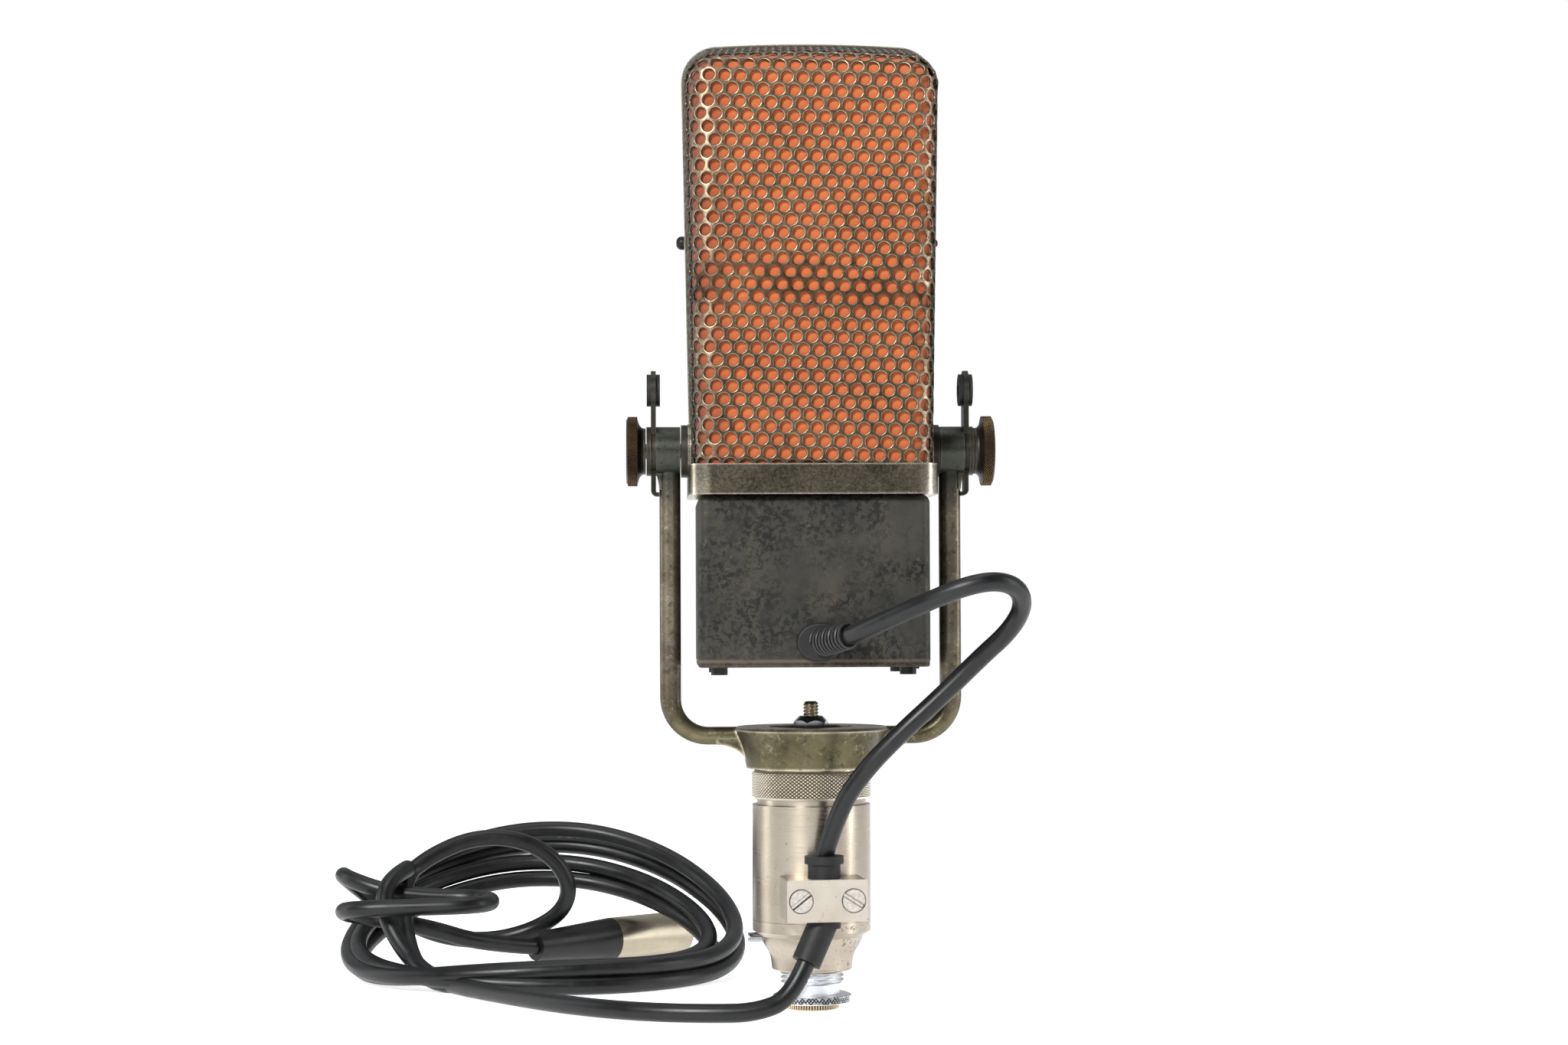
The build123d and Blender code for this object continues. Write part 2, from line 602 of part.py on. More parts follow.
# ---------------------------------------------------------------- transformer case
def transformer_case():
    with BuildPart() as case:
        with BuildSketch(Plane.XY.offset(CASE_LOW)):
            RectangleRounded(2 * CASE_HALF_W, 2 * CASE_HALF_D, 4.0)
        extrude(amount=CASE_HIGH - CASE_LOW)
        fillet(case.faces().sort_by(Axis.Z)[-1].edges(), 3.4)
        offset(amount=-CASE_T, openings=case.faces().sort_by(Axis.Z)[0])
        with BuildSketch(Plane.XZ.offset(CASE_HALF_D - 5)):
            with Locations((GLAND[0], GLAND[2])):
                Ellipse(6.4, 5.2)
        extrude(amount=10, mode=Mode.SUBTRACT)
        with BuildSketch(Plane((0, LEAD_Y, CASE_HIGH - 3))):
            Rectangle(14, 4)
        extrude(amount=10, mode=Mode.SUBTRACT)
    finish(case, "transformer_case")

    with BuildPart() as plate:
        with BuildSketch(Plane.XY.offset(CASE_LOW - PLATE_T)):
            RectangleRounded(2 * CASE_HALF_W - 0.4, 2 * CASE_HALF_D - 0.4, 3.8)
        extrude(amount=PLATE_T)
        fillet(plate.faces().sort_by(Axis.Z)[0].edges(), 0.8)
    finish(plate, "bottom_plate")

    with BuildPart() as feet:
        low = CASE_LOW - PLATE_T
        for x in (-37.0, 37.0):
            for y in (-24.0, 24.0):
                with BuildSketch(Plane((x, y, low))):
                    Circle(3.25)
                extrude(amount=-3.0)
        with BuildSketch(Plane((42.0, 0, low))):
            Circle(1.6)
        extrude(amount=-1.4)
    finish(feet, "bottom_screws")

    with BuildPart() as grommet:
        with BuildSketch(Plane.XZ.offset(CASE_HALF_D)):
            with Locations((GLAND[0], GLAND[2])):
                Ellipse(9.2, 7.6)
        extrude(amount=2.6)
        fillet(grommet.faces().sort_by(Axis.Y)[0].edges(), 1.0)
        with BuildSketch(Plane.XZ.offset(CASE_HALF_D)):
            with Locations((GLAND[0], GLAND[2])):
                Ellipse(6.4, 5.2)
        extrude(amount=-CASE_T)
        add(cord_along(UPPER_ROUTE[:3], CORD_R)[0], mode=Mode.SUBTRACT)
    finish(grommet, "cable_grommet")

    start = Vector(*UPPER_ROUTE[0])
    ahead = (Vector(*UPPER_ROUTE[1]) - start).normalized()
    with BuildPart() as relief:
        with BuildSketch(Plane(origin=start + ahead * 4.2, z_dir=ahead)):
            Circle(5.2)
        extrude(amount=11.0)
        add(cord_along(UPPER_ROUTE[:3], CORD_R)[0], mode=Mode.SUBTRACT)
        with BuildSketch(Plane.XZ.offset(CASE_HALF_D + 2.6)):
            Rectangle(200, 600)
        extrude(amount=-30, mode=Mode.SUBTRACT)
    finish(relief, "relief_spring")

    with BuildPart() as core:
        with BuildSketch(Plane.XZ.offset(-12)):
            with Locations((0, 176)):
                Rectangle(56, 42)
                with Locations((-11, 0), (11, 0)):
                    Rectangle(10, 24, mode=Mode.SUBTRACT)
        extrude(amount=24)
    finish(core, "transformer_core")

    with BuildPart() as winding:
        with BuildSketch(Plane.XY.offset(164.2)):
            RectangleRounded(31.6, 44, 6)
            Rectangle(12.2, 24.2, mode=Mode.SUBTRACT)
        extrude(amount=23.6)
    finish(winding, "transformer_winding")

    with BuildPart() as strip:
        with BuildSketch(Plane((-24, -26.5, 146))):
            Rectangle(26, 3)
        extrude(amount=9)
        with BuildSketch(Plane((-24, -26.5, CASE_LOW + 0.2))):
            Rectangle(10, 3)
        extrude(amount=8)
        for x in (-33, -27, -21, -15):
            with BuildSketch(Plane.XZ.offset(28.0)):
                with Locations((x, 150.5)):
                    Circle(1.3)
            extrude(amount=1.4)
    finish(strip, "terminal_strip")


# ---------------------------------------------------------------- ribbon motor inside the head
def ribbon_motor():
    with BuildPart() as base:
        with BuildSketch(Plane.XY.offset(BAND_LOW + 2.0)):
            RectangleRounded(84, 52, 4)
            with Locations((0, LEAD_Y)):
                Rectangle(14, 4, mode=Mode.SUBTRACT)
        extrude(amount=5.0)
    finish(base, "motor_base")
    floor = BAND_LOW + 7.0

    for side, word in ((-1, "left"), (1, "right")):
        with BuildPart() as magnet:
            with BuildSketch(Plane((side * 27.0, 0, floor))):
                RectangleRounded(18, 34, 2)
            extrude(amount=112)
        finish(magnet, f"magnet_{word}")
        with BuildPart() as pole:
            with BuildSketch(Plane.XY.offset(floor + 14)):
                with BuildLine():
                    Polyline(
                        (side * 18, -13), (side * 18, 13), (side * 8, 6), (side * 3.2, 2.2),
                        (side * 3.2, -2.2), (side * 8, -6), close=True,
                    )
                make_face()
            extrude(amount=94)
        finish(pole, f"pole_piece_{word}")

    with BuildPart() as ribbon:
        steps = 60
        low, high = floor + 12.0, floor + 110.0
        with BuildSketch(plane_x(-2.5)):
            with BuildLine():
                wave = [
                    ((0.45 if n % 2 else -0.45), low + (high - low) * n / steps)
                    for n in range(steps + 1)
                ]
                Polyline(*wave, *[(y + 0.12, z) for y, z in reversed(wave)], close=True)
            make_face()
        extrude(amount=5.0)
    finish(ribbon, "ribbon")

    with BuildPart() as clamps:
        for z in (floor + 4.0, floor + 110.0):
            with BuildSketch(Plane.XY.offset(z)):
                Rectangle(14, 10)
            extrude(amount=8.0)
    finish(clamps, "ribbon_clamps")

    with BuildPart() as bridge:
        with BuildSketch(Plane.XY.offset(floor + 118.0)):
            RectangleRounded(72, 30, 3)
        extrude(amount=4.0)
        for side in (-1, 1):
            with BuildSketch(Plane((side * 27.0, 0, floor + 112.0))):
                Rectangle(12, 24)
            extrude(amount=6.0)
    finish(bridge, "top_bridge")

    with BuildPart() as leads:
        for x in (-3.0, 3.0):
            with BuildLine() as path:
                FilletPolyline(
                    (x, 5.0, floor + 9.0), (x, LEAD_Y, floor + 9.0), (x, LEAD_Y, 187.8), radius=4.0,
                )
            with BuildSketch(Plane(origin=(x, 5.0, floor + 9.0), z_dir=(0, 1, 0))):
                Circle(0.8)
            sweep(path=path.wires()[0])
    finish(leads, "ribbon_leads")


# ---------------------------------------------------------------- cable, coil and plug
def arc_radii(route):
    """Each corner's radius: 0.45 of its shorter run, over the tangent of half its turn."""
    radii = []
    for before, corner, after in zip(route, route[1:], route[2:]):
        into, out = Vector(*corner) - Vector(*before), Vector(*after) - Vector(*corner)
        half_turn = math.radians(into.get_angle(out)) / 2
        radii.append(0.45 * min(into.length, out.length) / math.tan(half_turn))
    return radii


def cord_along(route, radius):
    """A round cord along straight runs joined by tangent arcs."""
    with BuildPart(mode=Mode.PRIVATE) as cord:
        with BuildLine() as path:
            FilletPolyline(*route, radius=arc_radii(route))
        with BuildSketch(Plane(origin=route[0], z_dir=Vector(*route[1]) - Vector(*route[0]))):
            Circle(radius)
        sweep(path=path.wires()[0])
    return cord.part, path.wires()[0].length


def cable():
    for route, node in (
        (UPPER_ROUTE, "cord_case_to_clamp"), (LOWER_ROUTE, "cord_clamp_to_coil"),
        (LOOP_ROUTE, "cord_small_loop"), (TAIL_ROUTE, "cord_tail"),
    ):
        tube, length = cord_along(route, CORD_R)
        section = math.pi * CORD_R**2
        print(node, "radii", [round(r, 1) for r in arc_radii(route)])
        filled = tube.volume / (section * length)
        print("  length", round(length, 1), "volume over section x length", round(filled, 4))
        with BuildPart() as cord:
            add(tube)
        finish(cord, node)

    with BuildPart() as coil:
        for half in (-1, 1):
            for step in range(7):
                turn = math.radians(-90 + 30 * step)
                back = (1 + math.sin(turn)) / 2
                height = 15.0 + 19.0 * math.sqrt(back)
                width = 16.0 + 8.0 * abs(math.cos(turn))
                raise_by = height / 2 + 32.0 * back**2.2
                place = Vector(
                    COIL_CENTRE[0] + half * (COIL_HALF_X - width / 2 + 8.0) * math.cos(turn),
                    COIL_CENTRE[1] + COIL_HALF_Y * math.sin(turn), raise_by,
                )
                out = Vector(half * math.cos(turn), math.sin(turn), 0)
                with BuildSketch(Plane(origin=place, x_dir=out, z_dir=out.cross(Vector(0, 0, 1)))):
                    Ellipse(width / 2, height / 2)
            loft()
    finish(coil, "cord_coil")


def plug():
    heading = Vector(math.cos(math.radians(PLUG_HEADING)), math.sin(math.radians(PLUG_HEADING)), 0)
    start = Vector(*TAIL_ROUTE[-1])

    def section(distance):
        return Plane(origin=start + heading * distance, x_dir=(0, 0, 1), z_dir=heading)

    with BuildPart() as boot:
        for distance, radius in ((0.0, 6.2), (4.0, 6.6)):
            with BuildSketch(section(distance)):
                Circle(radius)
        loft()
        for distance, radius in ((4.0, 6.6), (PLUG_BOOT_LENGTH, PLUG_R)):
            with BuildSketch(section(distance)):
                Circle(radius)
        loft()
    finish(boot, "plug_boot")

    with BuildPart() as shell:
        with BuildSketch(section(PLUG_BOOT_LENGTH)):
            Circle(PLUG_R)
        extrude(amount=PLUG_LENGTH - PLUG_BOOT_LENGTH)
        with BuildSketch(section(PLUG_LENGTH - 17.0)):
            Circle(PLUG_R - 1.4)
        extrude(amount=20, mode=Mode.SUBTRACT)
    finish(shell, "plug_shell")

    with BuildPart() as insert:
        with BuildSketch(section(PLUG_LENGTH - 17.0)):
            Circle(PLUG_R - 1.4)
        extrude(amount=3.0)
    finish(insert, "plug_insert")

    with BuildPart() as pins:
        with BuildSketch(section(PLUG_LENGTH - 14.0)):
            with PolarLocations(4.0, 3):
                Circle(1.2)
        extrude(amount=11.0)
        fillet(pins.faces().sort_by(Axis(tuple(start), tuple(heading)))[-3:].edges(), 0.8)
    finish(pins, "plug_pins")


stand_mount()
swivel_and_ring()
cable_clamp()
yoke()
pivots()
head_shells()
transformer_case()
ribbon_motor()
cable()
plug()
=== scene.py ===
"""The looks of the ribbon microphone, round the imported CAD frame. Metres, +Z up, front towards -Y."""

import math

import bmesh
import bpy
import numpy as np
from mathutils import Matrix, Vector, noise


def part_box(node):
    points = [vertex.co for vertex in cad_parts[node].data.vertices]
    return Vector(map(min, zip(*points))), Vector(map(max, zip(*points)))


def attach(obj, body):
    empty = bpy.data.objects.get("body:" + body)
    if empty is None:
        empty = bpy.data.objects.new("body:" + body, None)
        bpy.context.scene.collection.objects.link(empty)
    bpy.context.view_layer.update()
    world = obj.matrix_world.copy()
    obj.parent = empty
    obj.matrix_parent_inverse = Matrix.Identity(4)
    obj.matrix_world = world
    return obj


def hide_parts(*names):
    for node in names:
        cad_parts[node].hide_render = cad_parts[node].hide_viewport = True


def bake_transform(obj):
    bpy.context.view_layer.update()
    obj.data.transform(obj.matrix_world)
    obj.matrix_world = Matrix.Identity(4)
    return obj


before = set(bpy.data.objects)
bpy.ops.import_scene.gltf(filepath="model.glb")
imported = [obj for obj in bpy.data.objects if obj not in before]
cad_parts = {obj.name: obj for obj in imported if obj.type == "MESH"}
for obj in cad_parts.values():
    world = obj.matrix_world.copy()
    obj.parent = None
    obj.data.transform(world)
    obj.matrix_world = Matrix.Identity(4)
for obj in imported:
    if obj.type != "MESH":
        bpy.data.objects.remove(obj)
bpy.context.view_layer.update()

# bodies of the frame
MOUNT, SWIVEL, HEAD = "stand_mount", "swivel_head", "microphone"


# ---------------------------------------------------------------- camera, lights, floor
CAMERA_AZIMUTH = math.radians(-2.5)
CAMERA_DISTANCE = 1.2
CAMERA_OFFSET = -0.0104          # sideways from the microphone's axis
CAMERA_HEIGHT = 0.162
CAMERA_PITCH = math.radians(1.503)
CAMERA_ROLL = math.radians(-0.25)
CAMERA_LENS = 68.85

LIGHTS_AIM = Vector((0, 0, 0.2))
LIGHTS = [                       # name, place, width and height, power
    ("key_left", (-0.8, -1.55, 1.2), (0.4, 0.5), 54),
    ("strip_left", (-1.3, 0.25, 0.4), (0.4, 1.3), 5),
    ("key_right", (1.4, -0.25, 0.5), (0.3, 1.2), 8),
    ("front_fill", (0.3, -2.2, 1.1), (0.7, 0.7), 1),
    ("top", (-0.1, 0.1, 1.7), (1.2, 0.8), 7),
]
FLOOR_HALF = 8.0
FLOOR_GLOW = 0.77                # keeps the floor as white as the backdrop


def make_camera():
    data = bpy.data.cameras.new("camera")
    data.lens = CAMERA_LENS
    data.sensor_width = 36.0
    data.clip_end = 20.0
    camera = bpy.data.objects.new("camera", data)
    bpy.context.scene.collection.objects.link(camera)
    turn = Matrix.Rotation(CAMERA_AZIMUTH, 4, "Z")
    place = turn @ Vector((CAMERA_OFFSET, -CAMERA_DISTANCE, CAMERA_HEIGHT))
    tilt = Matrix.Rotation(math.pi / 2 + CAMERA_PITCH, 4, "X")
    roll = Matrix.Rotation(CAMERA_ROLL, 4, "Z")
    camera.matrix_world = Matrix.Translation(place) @ turn @ tilt @ roll
    bpy.context.scene.camera = camera


def area_light(name, place, size, power):
    data = bpy.data.lights.new(name, "AREA")
    data.shape = "RECTANGLE"
    data.size, data.size_y = size
    data.energy = power
    light = bpy.data.objects.new(name, data)
    bpy.context.scene.collection.objects.link(light)
    aim = LIGHTS_AIM - Vector(place)
    light.matrix_world = Matrix.Translation(place) @ aim.to_track_quat("-Z", "Y").to_matrix().to_4x4()


def make_stage():
    for light in LIGHTS:
        area_light(*light)
    make_world()
    bpy.context.scene.view_settings.view_transform = "Standard"

    mesh = bpy.data.meshes.new("floor")
    corners = [(x * FLOOR_HALF, y * FLOOR_HALF, 0) for x, y in ((-1, -1), (1, -1), (1, 1), (-1, 1))]
    mesh.from_pydata(corners, [], [(0, 1, 2, 3)])
    floor = bpy.data.objects.new("floor", mesh)
    bpy.context.scene.collection.objects.link(floor)
    paint = Paint("floor_white")
    paint.shader(**{
        "Base Color": (0.85, 0.85, 0.86, 1), "Roughness": 0.6,
        "Emission Color": (1, 1, 1, 1), "Emission Strength": FLOOR_GLOW,
    })
    floor.data.materials.append(paint.material)


def make_world():
    """A white backdrop, and a studio that is brighter behind the microphone than in front of it."""
    world = bpy.data.worlds.new("studio")
    world.use_nodes = True
    tree = world.node_tree
    room = tree.nodes["Background"]
    room.inputs["Color"].default_value = (0.97, 0.985, 1.0, 1)
    direction = tree.nodes.new("ShaderNodeSeparateXYZ")
    tree.links.new(tree.nodes.new("ShaderNodeTexCoord").outputs["Generated"], direction.inputs[0])
    level = tree.nodes.new("ShaderNodeMapRange")
    tree.links.new(direction.outputs["Y"], level.inputs["Value"])
    for socket, value in (("From Min", -0.8), ("From Max", 0.8), ("To Min", 0.03), ("To Max", 0.52)):
        level.inputs[socket].default_value = value
    tree.links.new(level.outputs["Result"], room.inputs["Strength"])
    backdrop = tree.nodes.new("ShaderNodeBackground")
    backdrop.inputs["Color"].default_value = (1, 1, 1, 1)
    mix = tree.nodes.new("ShaderNodeMixShader")
    tree.links.new(tree.nodes.new("ShaderNodeLightPath").outputs["Is Camera Ray"], mix.inputs["Fac"])
    tree.links.new(room.outputs[0], mix.inputs[1])
    tree.links.new(backdrop.outputs[0], mix.inputs[2])
    tree.links.new(mix.outputs[0], tree.nodes["World Output"].inputs["Surface"])
    bpy.context.scene.world = world


# ---------------------------------------------------------------- materials
class Paint:
    """A node-based material, with short calls for its nodes."""

    def __init__(self, name):
        self.material = bpy.data.materials.new(name)
        self.material.use_nodes = True
        self.tree = self.material.node_tree
        self.bsdf = self.tree.nodes["Principled BSDF"]
        self.coords = None

    def node(self, kind, settings=None, **inputs):
        """A new node. An input is given by its name, or by its number after an underscore."""
        made = self.tree.nodes.new("ShaderNode" + kind)
        for key, value in (settings or {}).items():
            setattr(made, key, value)
        for key, value in inputs.items():
            self.put(made.inputs[int(key[1:]) if key[0] == "_" else key], value)
        return made

    def put(self, socket, value):
        if isinstance(value, bpy.types.NodeSocket):
            self.tree.links.new(value, socket)
        else:
            socket.default_value = value

    def shader(self, **inputs):
        for key, value in inputs.items():
            self.put(self.bsdf.inputs[key], value)

    def finish(self, colour, metallic, roughness, normal, **more):
        """The material, with its shader's main inputs set, and more by their names."""
        self.shader(Metallic=metallic, Roughness=roughness, Normal=normal, **{"Base Color": colour}, **more)
        return self.material

    def place(self, scale=(1, 1, 1)):
        """Coordinates on the object, in metres, stretched by scale."""
        if self.coords is None:
            self.coords = self.node("TexCoord").outputs["Object"]
        return self.node("Mapping", Vector=self.coords, Scale=scale).outputs["Vector"]

    def along(self, axis):
        """The object's own X, Y or Z, in metres."""
        return self.node("SeparateXYZ", Vector=self.place()).outputs[axis]

    def noise(self, scale, detail, rough, stretch=(1, 1, 1), distortion=0.0):
        return self.node(
            "TexNoise", Vector=self.place(stretch), Scale=scale, Detail=detail, Roughness=rough,
            Distortion=distortion,
        ).outputs["Fac"]

    def ramp(self, value, low, high, start=0.0, end=1.0):
        """value carried from low..high to start..end, clamped."""
        return self.node("MapRange", _0=value, _1=low, _2=high, _3=start, _4=end).outputs["Result"]

    def math(self, operation, a, b=0.0):
        """A sum on shares from 0 to 1, clamped to them."""
        return self.node("Math", {"operation": operation, "use_clamp": True}, _0=a, _1=b).outputs[0]

    def product(self, first, *more):
        for value in more:
            first = self.math("MULTIPLY", first, value)
        return first

    def mix(self, share, a, b):
        made = self.node("Mix", {"data_type": "RGBA"})
        self.put(made.inputs[0], share)
        self.put(made.inputs[6], a)
        self.put(made.inputs[7], b)
        return made.outputs[2]

    def bump(self, height, strength, distance, under=None):
        made = self.node("Bump", Height=height, Strength=strength, Distance=distance)
        if under is not None:
            self.put(made.inputs["Normal"], under)
        return made.outputs["Normal"]

    def edges(self, radius=0.0012, low=0.02, high=0.25):
        """1 on outside and inside edges within about radius, 0 on open faces."""
        soft = self.node("Bevel", {"samples": 6}, Radius=radius).outputs["Normal"]
        sharp = self.node("NewGeometry").outputs["Normal"]
        dot = self.node("VectorMath", {"operation": "DOT_PRODUCT"}, _0=soft, _1=sharp).outputs["Value"]
        return self.ramp(self.math("SUBTRACT", 1.0, dot), low, high)

    def turned(self):
        """A lathe's finish: reflections drawn out along the axis."""
        self.shader(**{"Anisotropic": 0.55, "Anisotropic Rotation": 0.25})
        radial = self.node("Tangent", {"direction_type": "RADIAL", "axis": "Z"})
        self.shader(Tangent=radial.outputs[0])

    def attribute(self, name):
        return self.node("Attribute", {"attribute_name": name}).outputs["Fac"]


def rgb(red, green, blue):
    """A colour from 0-255 display values, as the shader's linear colour."""
    def linear(value):
        value /= 255
        return value / 12.92 if value <= 0.04045 else ((value + 0.055) / 1.055) ** 2.4
    return (linear(red), linear(green), linear(blue), 1.0)


def worn_metal(name, dark, light, edge_colour, rough, wear, by_attribute=False, metallic=0.85):
    """Old plated metal: a dark patina, worn bright in patches, on edges or where the mesh's wear says."""
    paint = Paint(name)
    blotch = paint.noise(55, 5, 0.6)
    fine = paint.noise(900, 3, 0.6)
    patina = paint.mix(paint.ramp(blotch, 0.38, 0.62), dark, light)
    patina = paint.mix(paint.ramp(fine, 0.35, 0.75, 0.0, 0.35), patina, dark)
    rubbed_and_highlit = paint.attribute("wear") if by_attribute else paint.edges()
    patch = paint.ramp(paint.noise(30, 4, 0.65), 0.5 - wear * 0.25, 0.62)
    return paint.finish(
        paint.mix(paint.product(rubbed_and_highlit, patch), patina, edge_colour), metallic,
        paint.ramp(fine, 0.3, 0.7, *rough),
        paint.bump(fine, 0.25, 0.00008, paint.bump(blotch, 0.3, 0.0003)))


def turned_metal(name, colour, stain, rough, lines=2200, drawn=False, groove_shade=None):
    """Plate over turned metal: fine lines round the axis, stains, specks, and painted shade in the grooves,
    where the mesh's wear is low.
    """
    paint = Paint(name)
    if drawn:
        paint.turned()
    turned = paint.noise(lines / 100, 2, 0.7, (1, 1, 100))
    cloud = paint.noise(40, 4, 0.6)
    specks = paint.ramp(paint.noise(700, 2, 0.5), 0.68, 0.76)
    shade = paint.mix(paint.ramp(cloud, 0.45, 0.75, 0.0, 0.5), colour, stain)
    shade = paint.mix(paint.product(specks, 0.5), shade, rgb(90, 72, 55))
    shade = paint.mix(paint.ramp(turned, 0.4, 0.6, 0.1, 0.0), shade, stain)
    # painted shade: the grooves of knurls and serrations darkened where the mesh's wear is low
    if groove_shade:
        shade = paint.mix(paint.ramp(paint.attribute("wear"), 0.15, 0.55), rgb(*groove_shade), shade)
    return paint.finish(
        shade, 1.0, paint.ramp(turned, 0.3, 0.7, *rough),
        paint.bump(turned, 0.06, 0.00004))


def bell_nickel():
    """The bell's satin nickel, freckled with rust low on its right side."""
    paint = Paint("bell_nickel")
    paint.turned()
    turned = paint.noise(22, 2, 0.7, (1, 1, 100))
    cloud = paint.noise(45, 4, 0.6)
    shade = paint.mix(paint.ramp(cloud, 0.42, 0.72, 0.0, 0.6), rgb(172, 163, 149), rgb(138, 126, 108))
    freckles = paint.product(
        paint.ramp(paint.noise(620, 3, 0.6), 0.56, 0.63),
        paint.ramp(paint.along("X"), 0.003, 0.013, 0.08, 0.85),
        paint.ramp(paint.noise(120, 3, 0.6), 0.4, 0.56))
    shade = paint.mix(freckles, shade, rgb(70, 52, 38))
    return paint.finish(
        shade, 1.0, paint.ramp(turned, 0.3, 0.7, 0.26, 0.4),
        paint.bump(turned, 0.12, 0.00004))


def band_nickel():
    """The band and middle frame: dark, closely speckled, with painted highlights along its edges and down its
    rounded corners.
    """
    paint = Paint("band_nickel")
    cloud = paint.noise(60, 5, 0.65)
    speck = paint.noise(900, 4, 0.75)
    shade = paint.mix(paint.ramp(cloud, 0.38, 0.62), rgb(70, 66, 55), rgb(98, 92, 78))
    shade = paint.mix(paint.ramp(speck, 0.52, 0.76, 0.0, 0.22), shade, rgb(150, 142, 122))
    shade = paint.mix(paint.ramp(speck, 0.44, 0.28, 0.0, 0.3), shade, rgb(50, 47, 39))
    across = paint.math("ABSOLUTE", paint.along("X"))
    # painted reflection: the rounded corners at the band's ends painted bright
    ends = paint.product(
        paint.ramp(across, 0.040, 0.0455), paint.ramp(across, 0.0484, 0.0470),
        paint.ramp(cloud, 0.36, 0.56, 0.3, 0.8))
    shade = paint.mix(ends, shade, rgb(196, 188, 170))
    # painted highlight: the edges painted bright, broken up by the specks
    rubbed_and_highlit = paint.product(paint.edges(0.0016, 0.01, 0.16), paint.ramp(speck, 0.3, 0.55, 1.0, 0.6))
    shade = paint.mix(rubbed_and_highlit, shade, rgb(226, 217, 196))
    return paint.finish(
        shade, 0.92, paint.ramp(speck, 0.3, 0.7, 0.2, 0.36),
        paint.bump(speck, 0.3, 0.00008))


def case_patina():
    """The transformer case: near-black brown finish, mottled where it has worn thin."""
    paint = Paint("case_patina")
    cloud = paint.noise(30, 5, 0.6)
    small = paint.noise(430, 6, 0.75, distortion=0.3)
    streak = paint.noise(60, 4, 0.6, (1, 1, 0.16))
    grain = paint.noise(2600, 2, 0.5)
    ground = paint.mix(paint.ramp(cloud, 0.38, 0.62), rgb(35, 35, 32), rgb(50, 48, 42))
    ground = paint.mix(paint.ramp(streak, 0.5, 0.72, 0.0, 0.4), ground, rgb(66, 62, 52))
    where = paint.ramp(paint.noise(24, 4, 0.66), 0.42, 0.55)
    shade = paint.mix(paint.product(paint.ramp(small, 0.48, 0.53), where), ground, rgb(9, 9, 9))
    specks = paint.ramp(paint.noise(900, 3, 0.7), 0.62, 0.7)
    shade = paint.mix(paint.product(specks, 0.45), shade, rgb(24, 23, 22))
    rust = paint.ramp(paint.noise(380, 4, 0.6), 0.64, 0.72)
    shade = paint.mix(paint.product(rust, 0.5), shade, rgb(92, 74, 54))
    shade = paint.mix(paint.product(paint.edges(0.0022, 0.02, 0.2), 0.7), shade, rgb(106, 94, 76))
    height = paint.math("ADD", paint.product(small, 0.6), paint.product(grain, 0.4))
    return paint.finish(
        shade, 0.0, paint.ramp(small, 0.35, 0.65, 0.36, 0.58), paint.bump(height, 0.4, 0.0002),
        **{"Specular IOR Level": 0.25})


def yoke_metal():
    """Cast nickel silver: olive-brown patina low down, paler up the arms, with a painted highlight along the
    edges.
    """
    paint = Paint("yoke_metal")
    cloud = paint.noise(45, 5, 0.6)
    grain = paint.noise(1300, 3, 0.6)
    height = paint.along("Z")
    low = paint.mix(paint.ramp(cloud, 0.35, 0.65), rgb(62, 57, 39), rgb(104, 97, 73))
    high = paint.mix(paint.ramp(cloud, 0.35, 0.65), rgb(72, 67, 55), rgb(116, 108, 92))
    shade = paint.mix(paint.ramp(height, 0.105, 0.135), low, high)
    hub = paint.ramp(height, 0.196, 0.212)
    shade = paint.mix(hub, shade, rgb(58, 60, 54))
    # painted highlight: the edges painted bright in patches, fading out on the hub
    rubbed_and_highlit = paint.product(
        paint.edges(0.0020, 0.01, 0.16), paint.ramp(paint.noise(60, 4, 0.6), 0.3, 0.55),
        paint.ramp(hub, 0.0, 1.0, 1.0, 0.05))
    shade = paint.mix(rubbed_and_highlit, shade, rgb(200, 190, 168))
    pale = paint.product(
        paint.ramp(paint.noise(520, 5, 0.75), 0.55, 0.7), paint.ramp(paint.noise(50, 3, 0.6), 0.45, 0.62),
        paint.ramp(hub, 0.0, 1.0, 0.55, 0.04))
    shade = paint.mix(pale, shade, rgb(186, 180, 160))
    dirt = paint.ramp(paint.noise(330, 4, 0.7), 0.54, 0.68)
    shade = paint.mix(paint.product(dirt, 0.6), shade, rgb(40, 36, 27))
    return paint.finish(
        shade, 0.85, paint.ramp(grain, 0.3, 0.7, 0.3, 0.46),
        paint.bump(grain, 0.3, 0.0001, paint.bump(cloud, 0.2, 0.0004)))


def rubber(name, colour, dusty, rough=(0.5, 0.66)):
    """Rubber or moulded plastic, with a little dust on it."""
    paint = Paint(name)
    dust = paint.noise(90, 4, 0.6)
    grain = paint.noise(3500, 2, 0.6)
    shade = paint.mix(paint.ramp(dust, 0.42, 0.7, 0.0, 0.6), colour, dusty)
    return paint.finish(
        shade, 0.0, paint.ramp(dust, 0.3, 0.7, *rough), paint.bump(grain, 0.2, 0.00004),
        **{"Specular IOR Level": 0.34})


